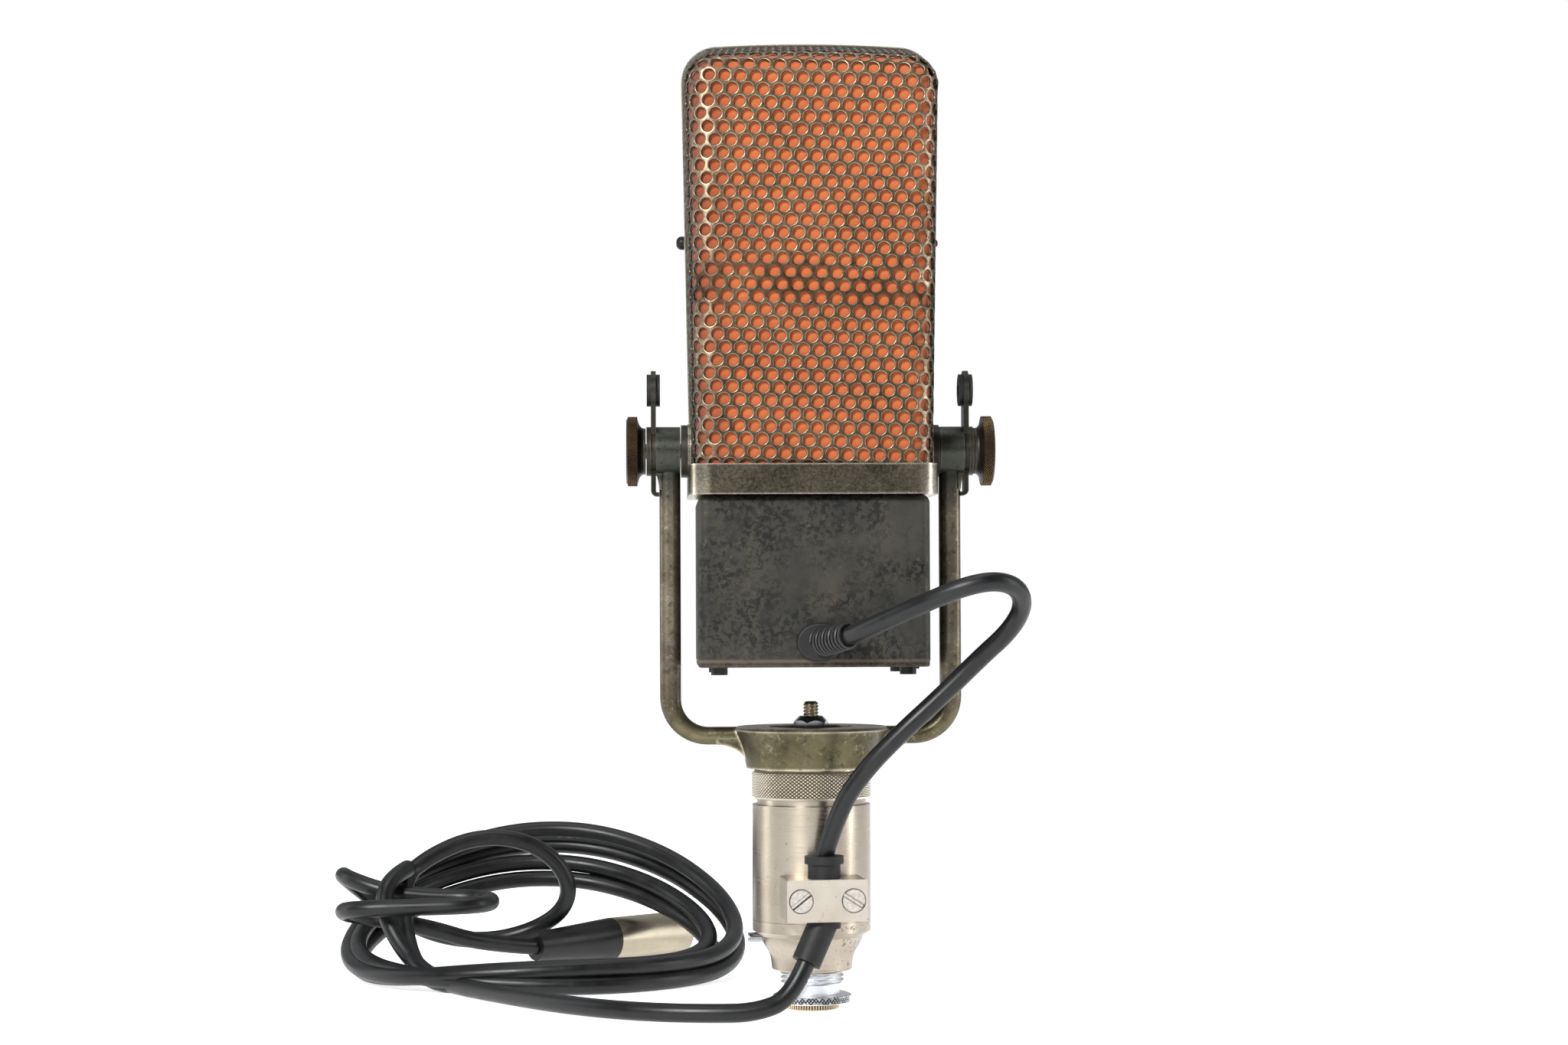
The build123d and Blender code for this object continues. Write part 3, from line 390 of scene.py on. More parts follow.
def orange_cloth():
    """Fine plain weave: warp along the width and weft up the height."""
    paint = Paint("orange_cloth")
    weave = paint.product(*(
        paint.node("TexWave", {"bands_direction": axis}, Vector=paint.place(), Scale=700, Distortion=1.2,
                   Detail=1).outputs["Fac"] for axis in "XZ"))
    cloud = paint.noise(26, 4, 0.6)
    fuzz = paint.noise(2600, 3, 0.6)
    shade = paint.mix(paint.ramp(cloud, 0.4, 0.66), rgb(186, 94, 44), rgb(166, 78, 36))
    shade = paint.mix(paint.ramp(fuzz, 0.3, 0.75, 0.0, 0.35), shade, rgb(204, 124, 74))
    shade = paint.mix(paint.ramp(weave, 0.0, 0.4, 0.3, 0.0), shade, rgb(120, 44, 20))
    # painted shade: the cloth darker towards -X, its left side seen from the front
    shade = paint.mix(paint.ramp(paint.along("X"), -0.045, -0.030, 0.75, 0.0), shade, rgb(92, 38, 20))
    return paint.finish(
        shade, 0.0, 0.9, paint.bump(weave, 0.35, 0.0001, paint.bump(fuzz, 0.3, 0.0001)),
        **{"Sheen Weight": 0.25})


def grille_metal():
    """The grille's sheet: dirt in the open metal, painted highlights round the hole rims and down both sides
    of the face.
    """
    paint = Paint("grille_metal")
    fine = paint.noise(1100, 3, 0.6)
    speck = paint.noise(420, 4, 0.7)
    cloud = paint.noise(34, 5, 0.62)
    height = paint.along("Z")
    across = paint.math("ABSOLUTE", paint.along("X"))
    ground = paint.mix(paint.ramp(cloud, 0.36, 0.64), rgb(62, 54, 45), rgb(104, 91, 74))
    ground = paint.mix(paint.ramp(height, 0.25, 0.37, 0.0, 0.55), ground, rgb(128, 110, 88))
    ground = paint.mix(paint.ramp(speck, 0.45, 0.7, 0.0, 0.7), ground, rgb(30, 27, 23))
    dirty = paint.product(
        paint.ramp(height, 0.274, 0.283), paint.ramp(height, 0.298, 0.288),
        paint.ramp(paint.noise(60, 4, 0.65), 0.42, 0.6))
    # painted highlight: a bright ring round each hole's rim where the mesh's wear is high; the plain edge
    # strip is worn
    rim_highlight_and_wear = paint.product(paint.attribute("wear"), paint.ramp(speck, 0.36, 0.6, 0.7, 0.25))
    # painted highlight: a bright band down the bend on each side of the face
    bend_highlight = paint.product(
        paint.ramp(across, 0.0375, 0.0415), paint.ramp(across, 0.0480, 0.0450),
        paint.ramp(cloud, 0.38, 0.64, 0.05, 0.9), paint.ramp(speck, 0.3, 0.62, 1.0, 0.3))
    rubbed_and_highlit = paint.math("SUBTRACT", paint.math("MAXIMUM", rim_highlight_and_wear, bend_highlight), paint.product(dirty, 0.8))
    shade = paint.mix(rubbed_and_highlit, ground, rgb(192, 178, 150))
    shade = paint.mix(paint.product(dirty, 0.6), shade, rgb(36, 29, 22))
    wall = paint.ramp(paint.math("ABSOLUTE", paint.along("Y")), 0.0335, 0.0285, 0.0, 0.75)
    shade = paint.mix(wall, shade, rgb(42, 39, 34))
    return paint.finish(
        shade, 0.9, paint.ramp(fine, 0.3, 0.7, 0.28, 0.46),
        paint.bump(fine, 0.3, 0.00006, paint.bump(cloud, 0.2, 0.0003)))


# ---------------------------------------------------------------- mesh helpers
WELD = 3e-6                      # points nearer than this are one
SLIVER = 1e-6                    # edges shorter than this go


def mesh_piece(name, points, faces, paint, smooth_below=40.0, wear=None):
    """A mesh object, smooth except over edges sharper than smooth_below degrees.

    wear, a number for each point, marks worn bright finish and painted rim highlights; low wear gets painted
    groove shade.
    """
    mesh = bpy.data.meshes.new(name)
    mesh.from_pydata([tuple(map(float, p)) for p in points], [], [list(map(int, face)) for face in faces])
    if wear is not None:
        mesh.attributes.new("wear", "FLOAT", "POINT").data.foreach_set("value", np.asarray(wear, np.float32))
    tidy = bmesh.new()
    tidy.from_mesh(mesh)
    bmesh.ops.remove_doubles(tidy, verts=tidy.verts, dist=WELD)
    bmesh.ops.dissolve_degenerate(tidy, edges=tidy.edges, dist=SLIVER)
    bmesh.ops.recalc_face_normals(tidy, faces=tidy.faces)
    tidy.to_mesh(mesh)
    tidy.free()
    mesh.shade_smooth()
    mesh.set_sharp_from_angle(angle=math.radians(smooth_below))
    mesh.materials.append(paint)
    made = bpy.data.objects.new(name, mesh)
    bpy.context.scene.collection.objects.link(made)
    return made


def stand_for(piece, body, slot, *nodes):
    """piece rides on body and is shown in place of the CAD nodes."""
    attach(piece, body)
    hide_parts(*nodes)
    return piece


def ring_faces(rows, columns, closed=True):
    """Quads of a grid of rows x columns, whose columns close into a ring."""
    faces = []
    for row in range(rows - 1):
        for column in range(columns if closed else columns - 1):
            after = (column + 1) % columns
            faces.append((
                row * columns + column, row * columns + after,
                (row + 1) * columns + after, (row + 1) * columns + column,
            ))
    return faces


def turned_point(radius, share, along, axis="Z", centre=(0, 0, 0)):
    """A point at a radius and a share of the whole turn round an axis, at a distance along it."""
    turn = 2 * math.pi * share
    a, b = radius * math.cos(turn), radius * math.sin(turn)
    return Vector(centre) + Vector((a, b, along) if axis == "Z" else (along, a, b))


def lathe(profile, segments, axis="Z", centre=(0, 0, 0), cut=None):
    """Points and faces of a profile of (radius, height) turned round an axis. cut may shorten a radius."""
    points = []
    for row, (radius, height) in enumerate(profile):
        for step in range(segments):
            r = radius - (cut(row, step) if cut else 0)
            points.append(turned_point(r, step / segments, height, axis, centre))
    return points, ring_faces(len(profile), segments)


def tube(name, path, radius, paint, segments=20):
    """A round tube along the path, capped at both ends."""
    path = [Vector(p) for p in path]
    ahead = (path[1] - path[0]).normalized()
    side = ahead.orthogonal().normalized()
    points = []
    for n, here in enumerate(path):
        before, after = path[max(n - 1, 0)], path[min(n + 1, len(path) - 1)]
        direction = (after - before).normalized()
        side = ahead.rotation_difference(direction) @ side
        ahead = direction
        other = ahead.cross(side)
        for step in range(segments):
            turn = 2 * math.pi * step / segments
            points.append(here + radius * (math.cos(turn) * side + math.sin(turn) * other))
    faces = ring_faces(len(path), segments)
    faces.append(tuple(reversed(range(segments))))
    faces.append(tuple(range(len(points) - segments, len(points))))
    return mesh_piece(name, points, faces, paint)


# ---------------------------------------------------------------- cables
CORD_D = 0.0073
UPPER_ROUTE = [
    (0.0020, -0.0330, 0.1460), (0.0115, -0.0505, 0.1480), (0.0240, -0.0640, 0.1540),
    (0.0390, -0.0750, 0.1610), (0.0525, -0.0815, 0.1670), (0.0650, -0.0810, 0.1695),
    (0.0745, -0.0740, 0.1670), (0.0780, -0.0630, 0.1595), (0.0735, -0.0535, 0.1500),
    (0.0630, -0.0475, 0.1400), (0.0480, -0.0445, 0.1250), (0.0320, -0.0435, 0.1105),
    (0.0185, -0.0410, 0.0965), (0.0088, -0.0356, 0.0815), (0.0033, -0.0312, 0.0630),
]
LOWER_ROUTE = [
    (-0.0042, -0.0355, 0.0220), (-0.0102, -0.0392, 0.0088), (-0.0240, -0.0425, 0.0040),
    (-0.0420, -0.0415, 0.00375), (-0.0615, -0.0370, 0.00375), (-0.0810, -0.0265, 0.00375),
    (-0.1015, -0.0080, 0.00375), (-0.1205, 0.0155, 0.00375), (-0.1395, 0.0420, 0.00375),
    (-0.1545, 0.0660, 0.0042), (-0.1675, 0.0785, 0.0130), (-0.1775, 0.0870, 0.0290),
    (-0.1780, 0.0960, 0.0430), (-0.1695, 0.1105, 0.0470),
]
LOOP_ROUTE = [
    (-0.1745, 0.1255, 0.0400), (-0.1605, 0.1340, 0.0510), (-0.1420, 0.1395, 0.0580),
    (-0.1230, 0.1425, 0.0570), (-0.1080, 0.1450, 0.0490), (-0.1000, 0.1475, 0.0360),
    (-0.1035, 0.1515, 0.0235), (-0.1175, 0.1565, 0.0145), (-0.1375, 0.1560, 0.0100),
    (-0.1585, 0.1490, 0.0130),
]
WRAP_ROUTE = [
    (-0.1780, 0.1440, 0.0230), (-0.1930, 0.1360, 0.0360), (-0.2000, 0.1240, 0.0440),
    (-0.1940, 0.1120, 0.0420), (-0.1780, 0.1070, 0.0370), (-0.1600, 0.1065, 0.0350),
    (-0.1413, 0.1065, 0.0345), (-0.1325, 0.0977, 0.0343), (-0.1325, 0.0853, 0.0341),
    (-0.1413, 0.0765, 0.0340), (-0.1600, 0.0765, 0.0336), (-0.1862, 0.0765, 0.0330),
    (-0.1950, 0.0853, 0.0315), (-0.1950, 0.0977, 0.0290), (-0.1862, 0.1065, 0.0265),
]
TAIL_ROUTE = [
    (-0.1775, 0.1060, 0.0250), (-0.1590, 0.1140, 0.0205), (-0.1390, 0.1220, 0.0130),
    (-0.1155, 0.1365, 0.0097),
]
# each turn of the coil: half width and depth, height at its front, sides and back, its centre's shift
COIL_CENTRE = Vector((-0.1110, 0.1170, 0))
COIL_TURNS = [
    (0.0845, 0.0735, 0.0108, 0.0190, 0.0590, 0.0010, -0.0010),
    (0.0865, 0.0780, 0.0038, 0.0120, 0.0512, 0.0000, 0.0010),
    (0.0780, 0.0710, 0.0112, 0.0150, 0.0438, -0.0040, 0.0000),
    (0.0790, 0.0700, 0.0040, 0.0070, 0.0364, -0.0030, -0.0010),
]
POINTS_PER_TURN = 14
STEADY = 0.7                     # share of a turn before it starts to pass into the next
FLOOR_GAP = 0.0001


def blended(a, b, share):
    return [p + (q - p) * share for p, q in zip(a, b)]


def coil_points():
    """Turns that pass smoothly from one size to the next, left, back, right, front and left again."""
    points = []
    count = len(COIL_TURNS) * POINTS_PER_TURN
    for step in range(1, count - 1):
        along = step / POINTS_PER_TURN
        turn = math.pi * (1 - 2 * along)
        first = min(int(along), len(COIL_TURNS) - 1)
        second = min(first + 1, len(COIL_TURNS) - 1)
        share = max(0.0, (along - first - STEADY) / (1 - STEADY))
        share = share * share * (3 - 2 * share)
        half_x, half_y, front, side, back, shift_x, shift_y = blended(
            COIL_TURNS[first], COIL_TURNS[second], share)
        sine = math.sin(turn)
        height = side + (back - front) / 2 * sine + ((back + front) / 2 - side) * sine * sine
        points.append((
            COIL_CENTRE.x + shift_x + half_x * math.cos(turn),
            COIL_CENTRE.y + shift_y + half_y * sine,
            max(height, CORD_D / 2 + FLOOR_GAP),
        ))
    return points


def smooth_line(route):
    """The points of a NURBS spline whose control points are the route's."""
    curve = bpy.data.curves.new("route", "CURVE")
    curve.dimensions = "3D"
    curve.resolution_u = 8
    spline = curve.splines.new("NURBS")
    spline.points.add(len(route) - 1)
    for point, place in zip(spline.points, route):
        point.co = (*place, 1)
    spline.order_u = 3
    spline.use_endpoint_u = True
    holder = bpy.data.objects.new("route", curve)
    bpy.context.scene.collection.objects.link(holder)
    line = bpy.data.meshes.new_from_object(holder)
    places = [v.co.copy() for v in line.vertices]
    bpy.data.objects.remove(holder)
    return places


def make_cables():
    paint = rubber("cable_rubber", rgb(10, 11, 12), rgb(27, 28, 30), (0.32, 0.46))
    upper = smooth_line(UPPER_ROUTE)
    piece = tube("cable_case_to_clamp", upper, CORD_D / 2, paint)
    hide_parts("cord_case_to_clamp")
    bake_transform(piece)
    spring = relief_spring(upper)

    lower = smooth_line(LOWER_ROUTE)
    piece = tube("cable_clamp_to_coil", lower, CORD_D / 2, paint)
    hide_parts("cord_clamp_to_coil")
    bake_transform(piece)

    coiled = smooth_line([LOWER_ROUTE[-1]] + coil_points() + LOOP_ROUTE + WRAP_ROUTE + TAIL_ROUTE)
    piece = tube("cable_coil", coiled, CORD_D / 2, paint)
    stand_for(piece, MOUNT, "cable_rubber", "cord_coil", "cord_small_loop", "cord_tail")


def relief_spring(line):
    """A wire spring wound round the cable's first stretch out of the case, a little looser at its start."""
    turns, first, last = 9.5, 0.0015, 0.0205
    wire, steps = 0.0006, 18
    slack_first, slack_last = 0.0012, 0.0004
    gone, stretches = 0.0, []
    for a, b in zip(line, line[1:]):
        stretches.append((gone, a, (b - a).normalized()))
        gone += (b - a).length
    points = []
    for step in range(int(turns * steps) + 1):
        share = step / (turns * steps)
        along = first + (last - first) * share
        start, here, ahead = [s for s in stretches if s[0] <= along][-1]
        side = ahead.cross(Vector((0, 0, 1))).normalized()
        other = side.cross(ahead)
        turn = 2 * math.pi * step / steps
        radius = CORD_D / 2 + wire + slack_first + (slack_last - slack_first) * share
        round_it = math.cos(turn) * side + math.sin(turn) * other
        points.append(here + ahead * (along - start) + radius * round_it)
    paint = worn_metal(
        "spring_wire", rgb(16, 16, 17), rgb(30, 30, 32), rgb(60, 60, 62), (0.42, 0.55), 0.1, metallic=0.0)
    piece = tube("relief_spring_wire", points, wire, paint, 8)
    return stand_for(piece, HEAD, "spring_wire", "relief_spring")


# ---------------------------------------------------------------- perforated grilles and their cloth
GRILLE_LOW_BOX, GRILLE_HIGH_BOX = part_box("front_grille")
SIDE_LOW = 0.0473                # half width at the grille's foot
SIDE_HIGH = 0.0506               # half width at its shoulders
CROWN = 0.0022
SHOULDER_Z = GRILLE_HIGH_BOX.z - CROWN
FOOT_Z = GRILLE_LOW_BOX.z
FRONT = -GRILLE_LOW_BOX.y
BACK = -GRILLE_HIGH_BOX.y
FACE_R = 0.010                   # round of the front face's edge
SIDE_DRAFT = 0.015               # how far the sides lean in, per unit of depth, towards the front
TOP_DRAFT = 0.25                 # how far the top falls
INSET_CORNER = 0.0022
SHEET_T = 0.0009
HOLE_R = 0.00238
PITCH = 0.0061
ROW = 0.00506
ROW_SLOPE = math.radians(-1.7)
BORDER = 0.0018                  # plain strip along the sheet's edge
ROWS_EACH_WAY = 40               # more rows and columns than the sheet holds
COLUMNS_EACH_WAY = 24
CROWDED_FROM = 0.021             # no holes further round the corners than this
SHEET_FOOT_GAP = 0.001
INSET_FOOT = FOOT_Z - 0.06       # the inset line runs on below the sheet
DENT_DEPTH = 0.00035
DENTS_PER_M = 38


def bend_end(upward):
    """The angle that the face's edge turns through, on a side (upward 0) or over the top (upward 1)."""
    lean = SIDE_DRAFT + (TOP_DRAFT - SIDE_DRAFT) * np.maximum(upward, 0) ** 2
    return math.pi / 2 - np.arctan(lean)


def wall_reach(upward):
    """How far the sheet runs from the flat face to the middle of the head, along its bend and wall."""
    end = bend_end(upward)
    return FACE_R * end + (FRONT - BACK - FACE_R * (1 - np.cos(end))) / np.sin(end)


def wall_offset(upward):
    """How far the middle's outline lies outside the flat face's outline."""
    end = bend_end(upward)
    return FACE_R * np.sin(end) + (FRONT - BACK - FACE_R * (1 - np.cos(end))) / np.tan(end)


def inset_half(z):
    """Half width of the front face's flat part at a height."""
    return SIDE_LOW + (SIDE_HIGH - SIDE_LOW) * (z - FOOT_Z) / (SHOULDER_Z - FOOT_Z) - wall_offset(0.0)


def inset_top(x):
    """Height of the flat part's upper edge at a distance from the middle."""
    return GRILLE_HIGH_BOX.z - CROWN * (x / SIDE_HIGH) ** 2 - wall_offset(1.0)


def inset_line():
    """The edge of the flat part of the front face, up the left side, over the top and down the right."""
    corner = INSET_CORNER
    top_x = inset_half(SHOULDER_Z)
    left = [(-inset_half(z), z) for z in np.linspace(INSET_FOOT, inset_top(top_x) - corner, 12)]
    bend = []
    for turn in np.radians([160, 135, 110]):
        bend.append((-top_x + corner + corner * math.cos(turn),
                     inset_top(top_x) - corner + corner * math.sin(turn)))
    top = [(x, inset_top(x)) for x in np.linspace(-top_x + corner, 0, 12)]
    half = left + bend + top
    return np.array(half + [(-x, z) for x, z in reversed(half[:-1])])


INSET = inset_line()


def nearest_on_inset(flat):
    """Each flat point's nearest point on the inset line, and how far away it is."""
    best = np.full(len(flat), np.inf)
    place = np.zeros_like(flat)
    for a, b in zip(INSET, INSET[1:]):
        along = np.clip((flat - a) @ (b - a) / ((b - a) @ (b - a)), 0, 1)[:, None]
        foot = a + along * (b - a)
        away = np.linalg.norm(flat - foot, axis=1)
        closer = away < best
        best[closer] = away[closer]
        place[closer] = foot[closer]
    return place, best


def on_face(flat):
    """True for each point on the flat part of the face."""
    return (np.abs(flat[:, 0]) <= inset_half(flat[:, 1])) & (flat[:, 1] <= inset_top(flat[:, 0]))


def wrap(flat, depth, spare):
    """Flat sheet points wrapped over the head's front, sunk by depth, stopped spare short of its middle."""
    flat = np.asarray(flat, float)
    depth = np.broadcast_to(np.asarray(depth, float), len(flat))
    foot, away = nearest_on_inset(flat)
    inside = on_face(flat)
    heading = (flat - foot) / np.maximum(away, 1e-9)[:, None]
    heading[inside] = 0
    end = bend_end(heading[:, 1])
    reach = np.where(inside, 0.0, np.minimum(away, wall_reach(heading[:, 1]) - spare))
    bend = np.minimum(reach / FACE_R, end)
    straight = np.maximum(reach - FACE_R * end, 0)
    base = np.where(inside[:, None], flat, foot)
    radius = FACE_R - depth
    out = radius * np.sin(bend) + straight * np.cos(end)
    places = np.empty((len(flat), 3))
    places[:, 0] = base[:, 0] + heading[:, 0] * out
    places[:, 2] = base[:, 1] + heading[:, 1] * out
    places[:, 1] = -FRONT + FACE_R - radius * np.cos(bend) + straight * np.sin(end)
    return places


def dented(places):
    """Small hollows of a sheet pressed and straightened by hand, shallower on its walls."""
    moved = places.copy()
    for n, p in enumerate(places):
        share = 1 if p[1] < -FRONT * 0.8 else 0.3
        moved[n, 1] += DENT_DEPTH * noise.noise(Vector(p) * DENTS_PER_M) * share
    return moved


def hole_cells():
    """Centres of the sheet's holes, in staggered rows that slope a little, and which are left plain."""
    cells = []
    turn = np.array([[math.cos(ROW_SLOPE), -math.sin(ROW_SLOPE)], [math.sin(ROW_SLOPE), math.cos(ROW_SLOPE)]])
    middle = np.array([0.0, (FOOT_Z + GRILLE_HIGH_BOX.z) / 2])
    for row in range(-ROWS_EACH_WAY, ROWS_EACH_WAY + 1):
        for column in range(-COLUMNS_EACH_WAY, COLUMNS_EACH_WAY + 1):
            cells.append(middle + turn @ np.array([(column + 0.5 * (row % 2)) * PITCH, row * ROW]))
    cells = np.array(cells)
    foot, away = nearest_on_inset(cells)
    inside = on_face(cells)
    upward = np.where(inside, 0, (cells[:, 1] - foot[:, 1]) / np.maximum(away, 1e-9))
    kept = (inside | (away < wall_reach(upward) - BORDER + PITCH / 2)) & (cells[:, 1] > FOOT_Z - ROW / 2)
    at_corner = ~inside & (upward > 0.2) & (upward < 0.98)
    crowded = at_corner & (away > CROWDED_FROM)
    return cells[kept], crowded[kept], turn


def cell_rim(turn):
    """The outline of one hole's share of sheet, three points to a side, round its centre."""
    low = (ROW * ROW - PITCH * PITCH / 4) / (2 * ROW)
    high = (ROW * ROW + PITCH * PITCH / 4) / (2 * ROW)
    corners = np.array([
        (PITCH / 2, -low), (PITCH / 2, low), (0, high), (-PITCH / 2, low), (-PITCH / 2, -low), (0, -high),
    ])
    following = np.roll(corners, -1, axis=0)
    rim = [a + (b - a) * share for a, b in zip(corners, following) for share in (0, 1 / 3, 2 / 3)]
    return np.array(rim) @ turn.T


def perforated_sheet(name, side, paint):
    """The sheet as one block of rings round each hole, with its plain edge."""
    cells, crowded, turn = hole_cells()
    rim = cell_rim(turn)
    heading = rim / np.linalg.norm(rim, axis=1)[:, None]
    # rings of one cell: radius, or None for the cell's own outline, then depth and wear, which here sets the
    # painted highlight round the hole's rim
    rings = [
        (None, 0.0, 0.0), (HOLE_R + 0.00040, 0.0, 0.05), (HOLE_R + 0.00024, 0.00002, 0.55),
        (HOLE_R + 0.00008, 0.0001, 1.0), (HOLE_R, 0.0003, 0.2), (HOLE_R, SHEET_T, 0.0), (None, SHEET_T, 0.0),
    ]
    per_ring = len(rim)
    shapes = np.array([rim if radius is None else heading * radius for radius, _, _ in rings])
    flat = (cells[:, None, None, :] + shapes[None]).reshape(-1, 2)
    depth, wear = (np.tile(np.repeat([ring[k] for ring in rings], per_ring), len(cells)) for k in (1, 2))
    flat[:, 1] = np.maximum(flat[:, 1], FOOT_Z + SHEET_FOOT_GAP)
    places = dented(wrap(flat, depth, BORDER))
    places[:, 1] *= -side
    faces = []
    for n in range(len(cells)):
        base = n * len(rings) * per_ring
        if crowded[n]:
            faces.append([base + k for k in range(per_ring)])
            faces.append([base + (len(rings) - 1) * per_ring + k for k in reversed(range(per_ring))])
            continue
        for ring in range(len(rings) - 1):
            for k in range(per_ring):
                after = (k + 1) % per_ring
                a, b = base + ring * per_ring, base + (ring + 1) * per_ring
                faces.append([a + k, a + after, b + after, b + k])
    points, faces, wear = joined((places, faces, wear), edge_strip(side))
    return mesh_piece(name, points, faces, paint, 50, wear)


def heading_out(line, n, share=0.5):
    """The unit heading to a line's left at its point n, share of the way from one run's to the next's."""
    before = line[n] - line[n - 1] if n else line[1] - line[0]
    after = line[n + 1] - line[n] if n + 1 < len(line) else before
    along = before / np.linalg.norm(before) * (1 - share) + after / np.linalg.norm(after) * share
    return np.array([-along[1], along[0]]) / np.linalg.norm(along)


def edge_strip(side):
    """The plain strip along the sheet's edge, as a closed band of the sheet's thickness, half worn."""
    rays = [(foot, heading_out(INSET, n, share)) for n, foot in enumerate(INSET) for share in (0.25, 0.75)
            if foot[1] > FOOT_Z]
    flat, depth = [], []
    inner = BORDER + 0.0003      # a little under the sheet
    for short, sunk in ((inner, 0.0), (0.0, 0.0), (0.0, SHEET_T), (inner, SHEET_T)):
        for foot, heading in rays:
            flat.append(foot + heading * (wall_reach(heading[1]) - short))
            depth.append(sunk)
    places = dented(wrap(flat, depth, 0.0))
    places[:, 1] *= -side
    count = len(rays)
    faces = []
    for row in range(4):
        a, b = row * count, (row + 1) % 4 * count
        faces += [(a + k, a + k + 1, b + k + 1, b + k) for k in range(count - 1)]
    return places, faces, [0.6] * len(places)


def cloth_liner(name, side, paint):
    """Cloth stretched close behind the sheet: a flat front, turned back round its edges."""
    behind, spare = 0.0018, 0.001
    columns, rows = 34, 58
    shares = [0.07, 0.14, 0.21, 0.28, 0.35, 0.5, 0.75, 1.0]       # rows of the turned-back edge
    low = FOOT_Z + 0.002
    points = []
    for row in range(rows + 1):
        for column in range(columns + 1):
            across = 2 * column / columns - 1
            z = low + (inset_top(0.0) - low) * row / rows
            x = across * inset_half(z)
            points.append((x, low + (inset_top(x) - low) * row / rows))
    faces = ring_faces(rows + 1, columns + 1, closed=False)
    border = [row * (columns + 1) for row in range(rows + 1)]
    border += [rows * (columns + 1) + k for k in range(1, columns + 1)]
    border += [row * (columns + 1) + columns for row in range(rows - 1, -1, -1)]
    flat = [np.array(p) for p in points]
    edge = [flat[n] for n in border]
    headings = [heading_out(edge, n) for n in range(len(edge))]
    previous = border
    for share in shares:
        start = len(flat)
        for here, heading in zip(edge, headings):
            flat.append(here + heading * share * (wall_reach(heading[1]) - spare))
        current = list(range(start, start + len(edge)))
        for k in range(len(edge) - 1):
            faces.append((previous[k], previous[k + 1], current[k + 1], current[k]))
        previous = current
    places = dented(wrap(np.array(flat), behind, spare))
    slack = 0.0002
    for n, p in enumerate(places):
        places[n, 1] += slack * (noise.noise(Vector(p) * 60) + noise.noise(Vector(p) * 18) + 1)
    places[:, 1] *= -side
    return mesh_piece(name, places, faces, paint, 80)


def make_head():
    metal, fabric = grille_metal(), orange_cloth()
    for side, word in ((-1, "front"), (1, "rear")):
        grille = perforated_sheet(f"{word}_grille_sheet", side, metal)
        stand_for(grille, HEAD, "antique_nickel", f"{word}_grille")
        cloth = cloth_liner(f"{word}_cloth_liner", side, fabric)
        stand_for(cloth, HEAD, "orange_cloth", f"{word}_cloth")


# ---------------------------------------------------------------- knurls, threads, serrations
RING_BORE_R = 0.02186
ADAPTER_BORE_R = 0.00794
STAND_THREAD_R = 0.00476


def knurled(low, high, radius, depth, columns, rows, axis="Z", centre=(0, 0, 0)):
    """Points, faces and wear of a diamond knurl: peaks and grooves by turns, split along its grooves."""
    points, faces, wear = [], [], []
    steps = 2 * columns
    for row in range(rows + 1):
        for step in range(steps):
            peak = (row + step) % 2
            wear.append(peak)
            points.append(turned_point(
                radius - (0 if peak else depth), step / steps, low + (high - low) * row / rows, axis, centre))
    for row in range(rows):
        for step in range(steps):
            a, b = row * steps + step, row * steps + (step + 1) % steps
            d, c = a + steps, b + steps
            faces += [(a, b, d), (b, c, d)] if (row + step) % 2 else [(a, b, c), (a, c, d)]
    return points, faces, wear


def helical(low, high, radius, depth, pitch, segments=96, per_pitch=8):
    """A screw thread's surface between two heights."""
    rows = max(2, int((high - low) / pitch * per_pitch))
    points = []
    for row in range(rows + 1):
        height = low + (high - low) * row / rows
        for step in range(segments):
            phase = (height / pitch - step / segments) % 1.0
            groove = min(1.0, max(0.0, 2.6 * abs(phase - 0.5) - 0.15))
            points.append(turned_point(radius - depth * groove, step / segments, height))
    return points, ring_faces(rows + 1, segments)


def joined(*parts):
    """Several (points, faces) or (points, faces, wear) as one, worn bright where no wear is given."""
    points, faces, wear = [], [], []
    for more_points, more_faces, *more_wear in parts:
        first = len(points)
        points += list(more_points)
        faces += [tuple(first + n for n in face) for face in more_faces]
        wear += list(more_wear[0]) if more_wear else [1.0] * len(more_points)
    return points, faces, wear


def turned_piece(name, paint, smooth_below, parts):
    points, faces, wear = joined(*parts)
    return mesh_piece(name, points, faces, PAINTS[paint], smooth_below, wear)


def make_lock_ring():
    low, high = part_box("lock_ring")
    radius, edge, groove, chamfer = high.x, 0.0009, 0.0006, 0.0013
    segments = 168
    piece = turned_piece("lock_ring_knurled", "knurled_nickel", 18, [
        knurled(low.z + edge, high.z - edge, radius, 0.0007, segments // 2, 14),
        lathe([(radius - groove, low.z + edge), (radius - chamfer, low.z), (RING_BORE_R, low.z)], segments),
        lathe([(radius - groove, high.z - edge), (radius - chamfer, high.z), (RING_BORE_R, high.z),
               (RING_BORE_R, low.z)], segments),
    ])
    stand_for(piece, "lock_ring", "satin_nickel", "lock_ring")


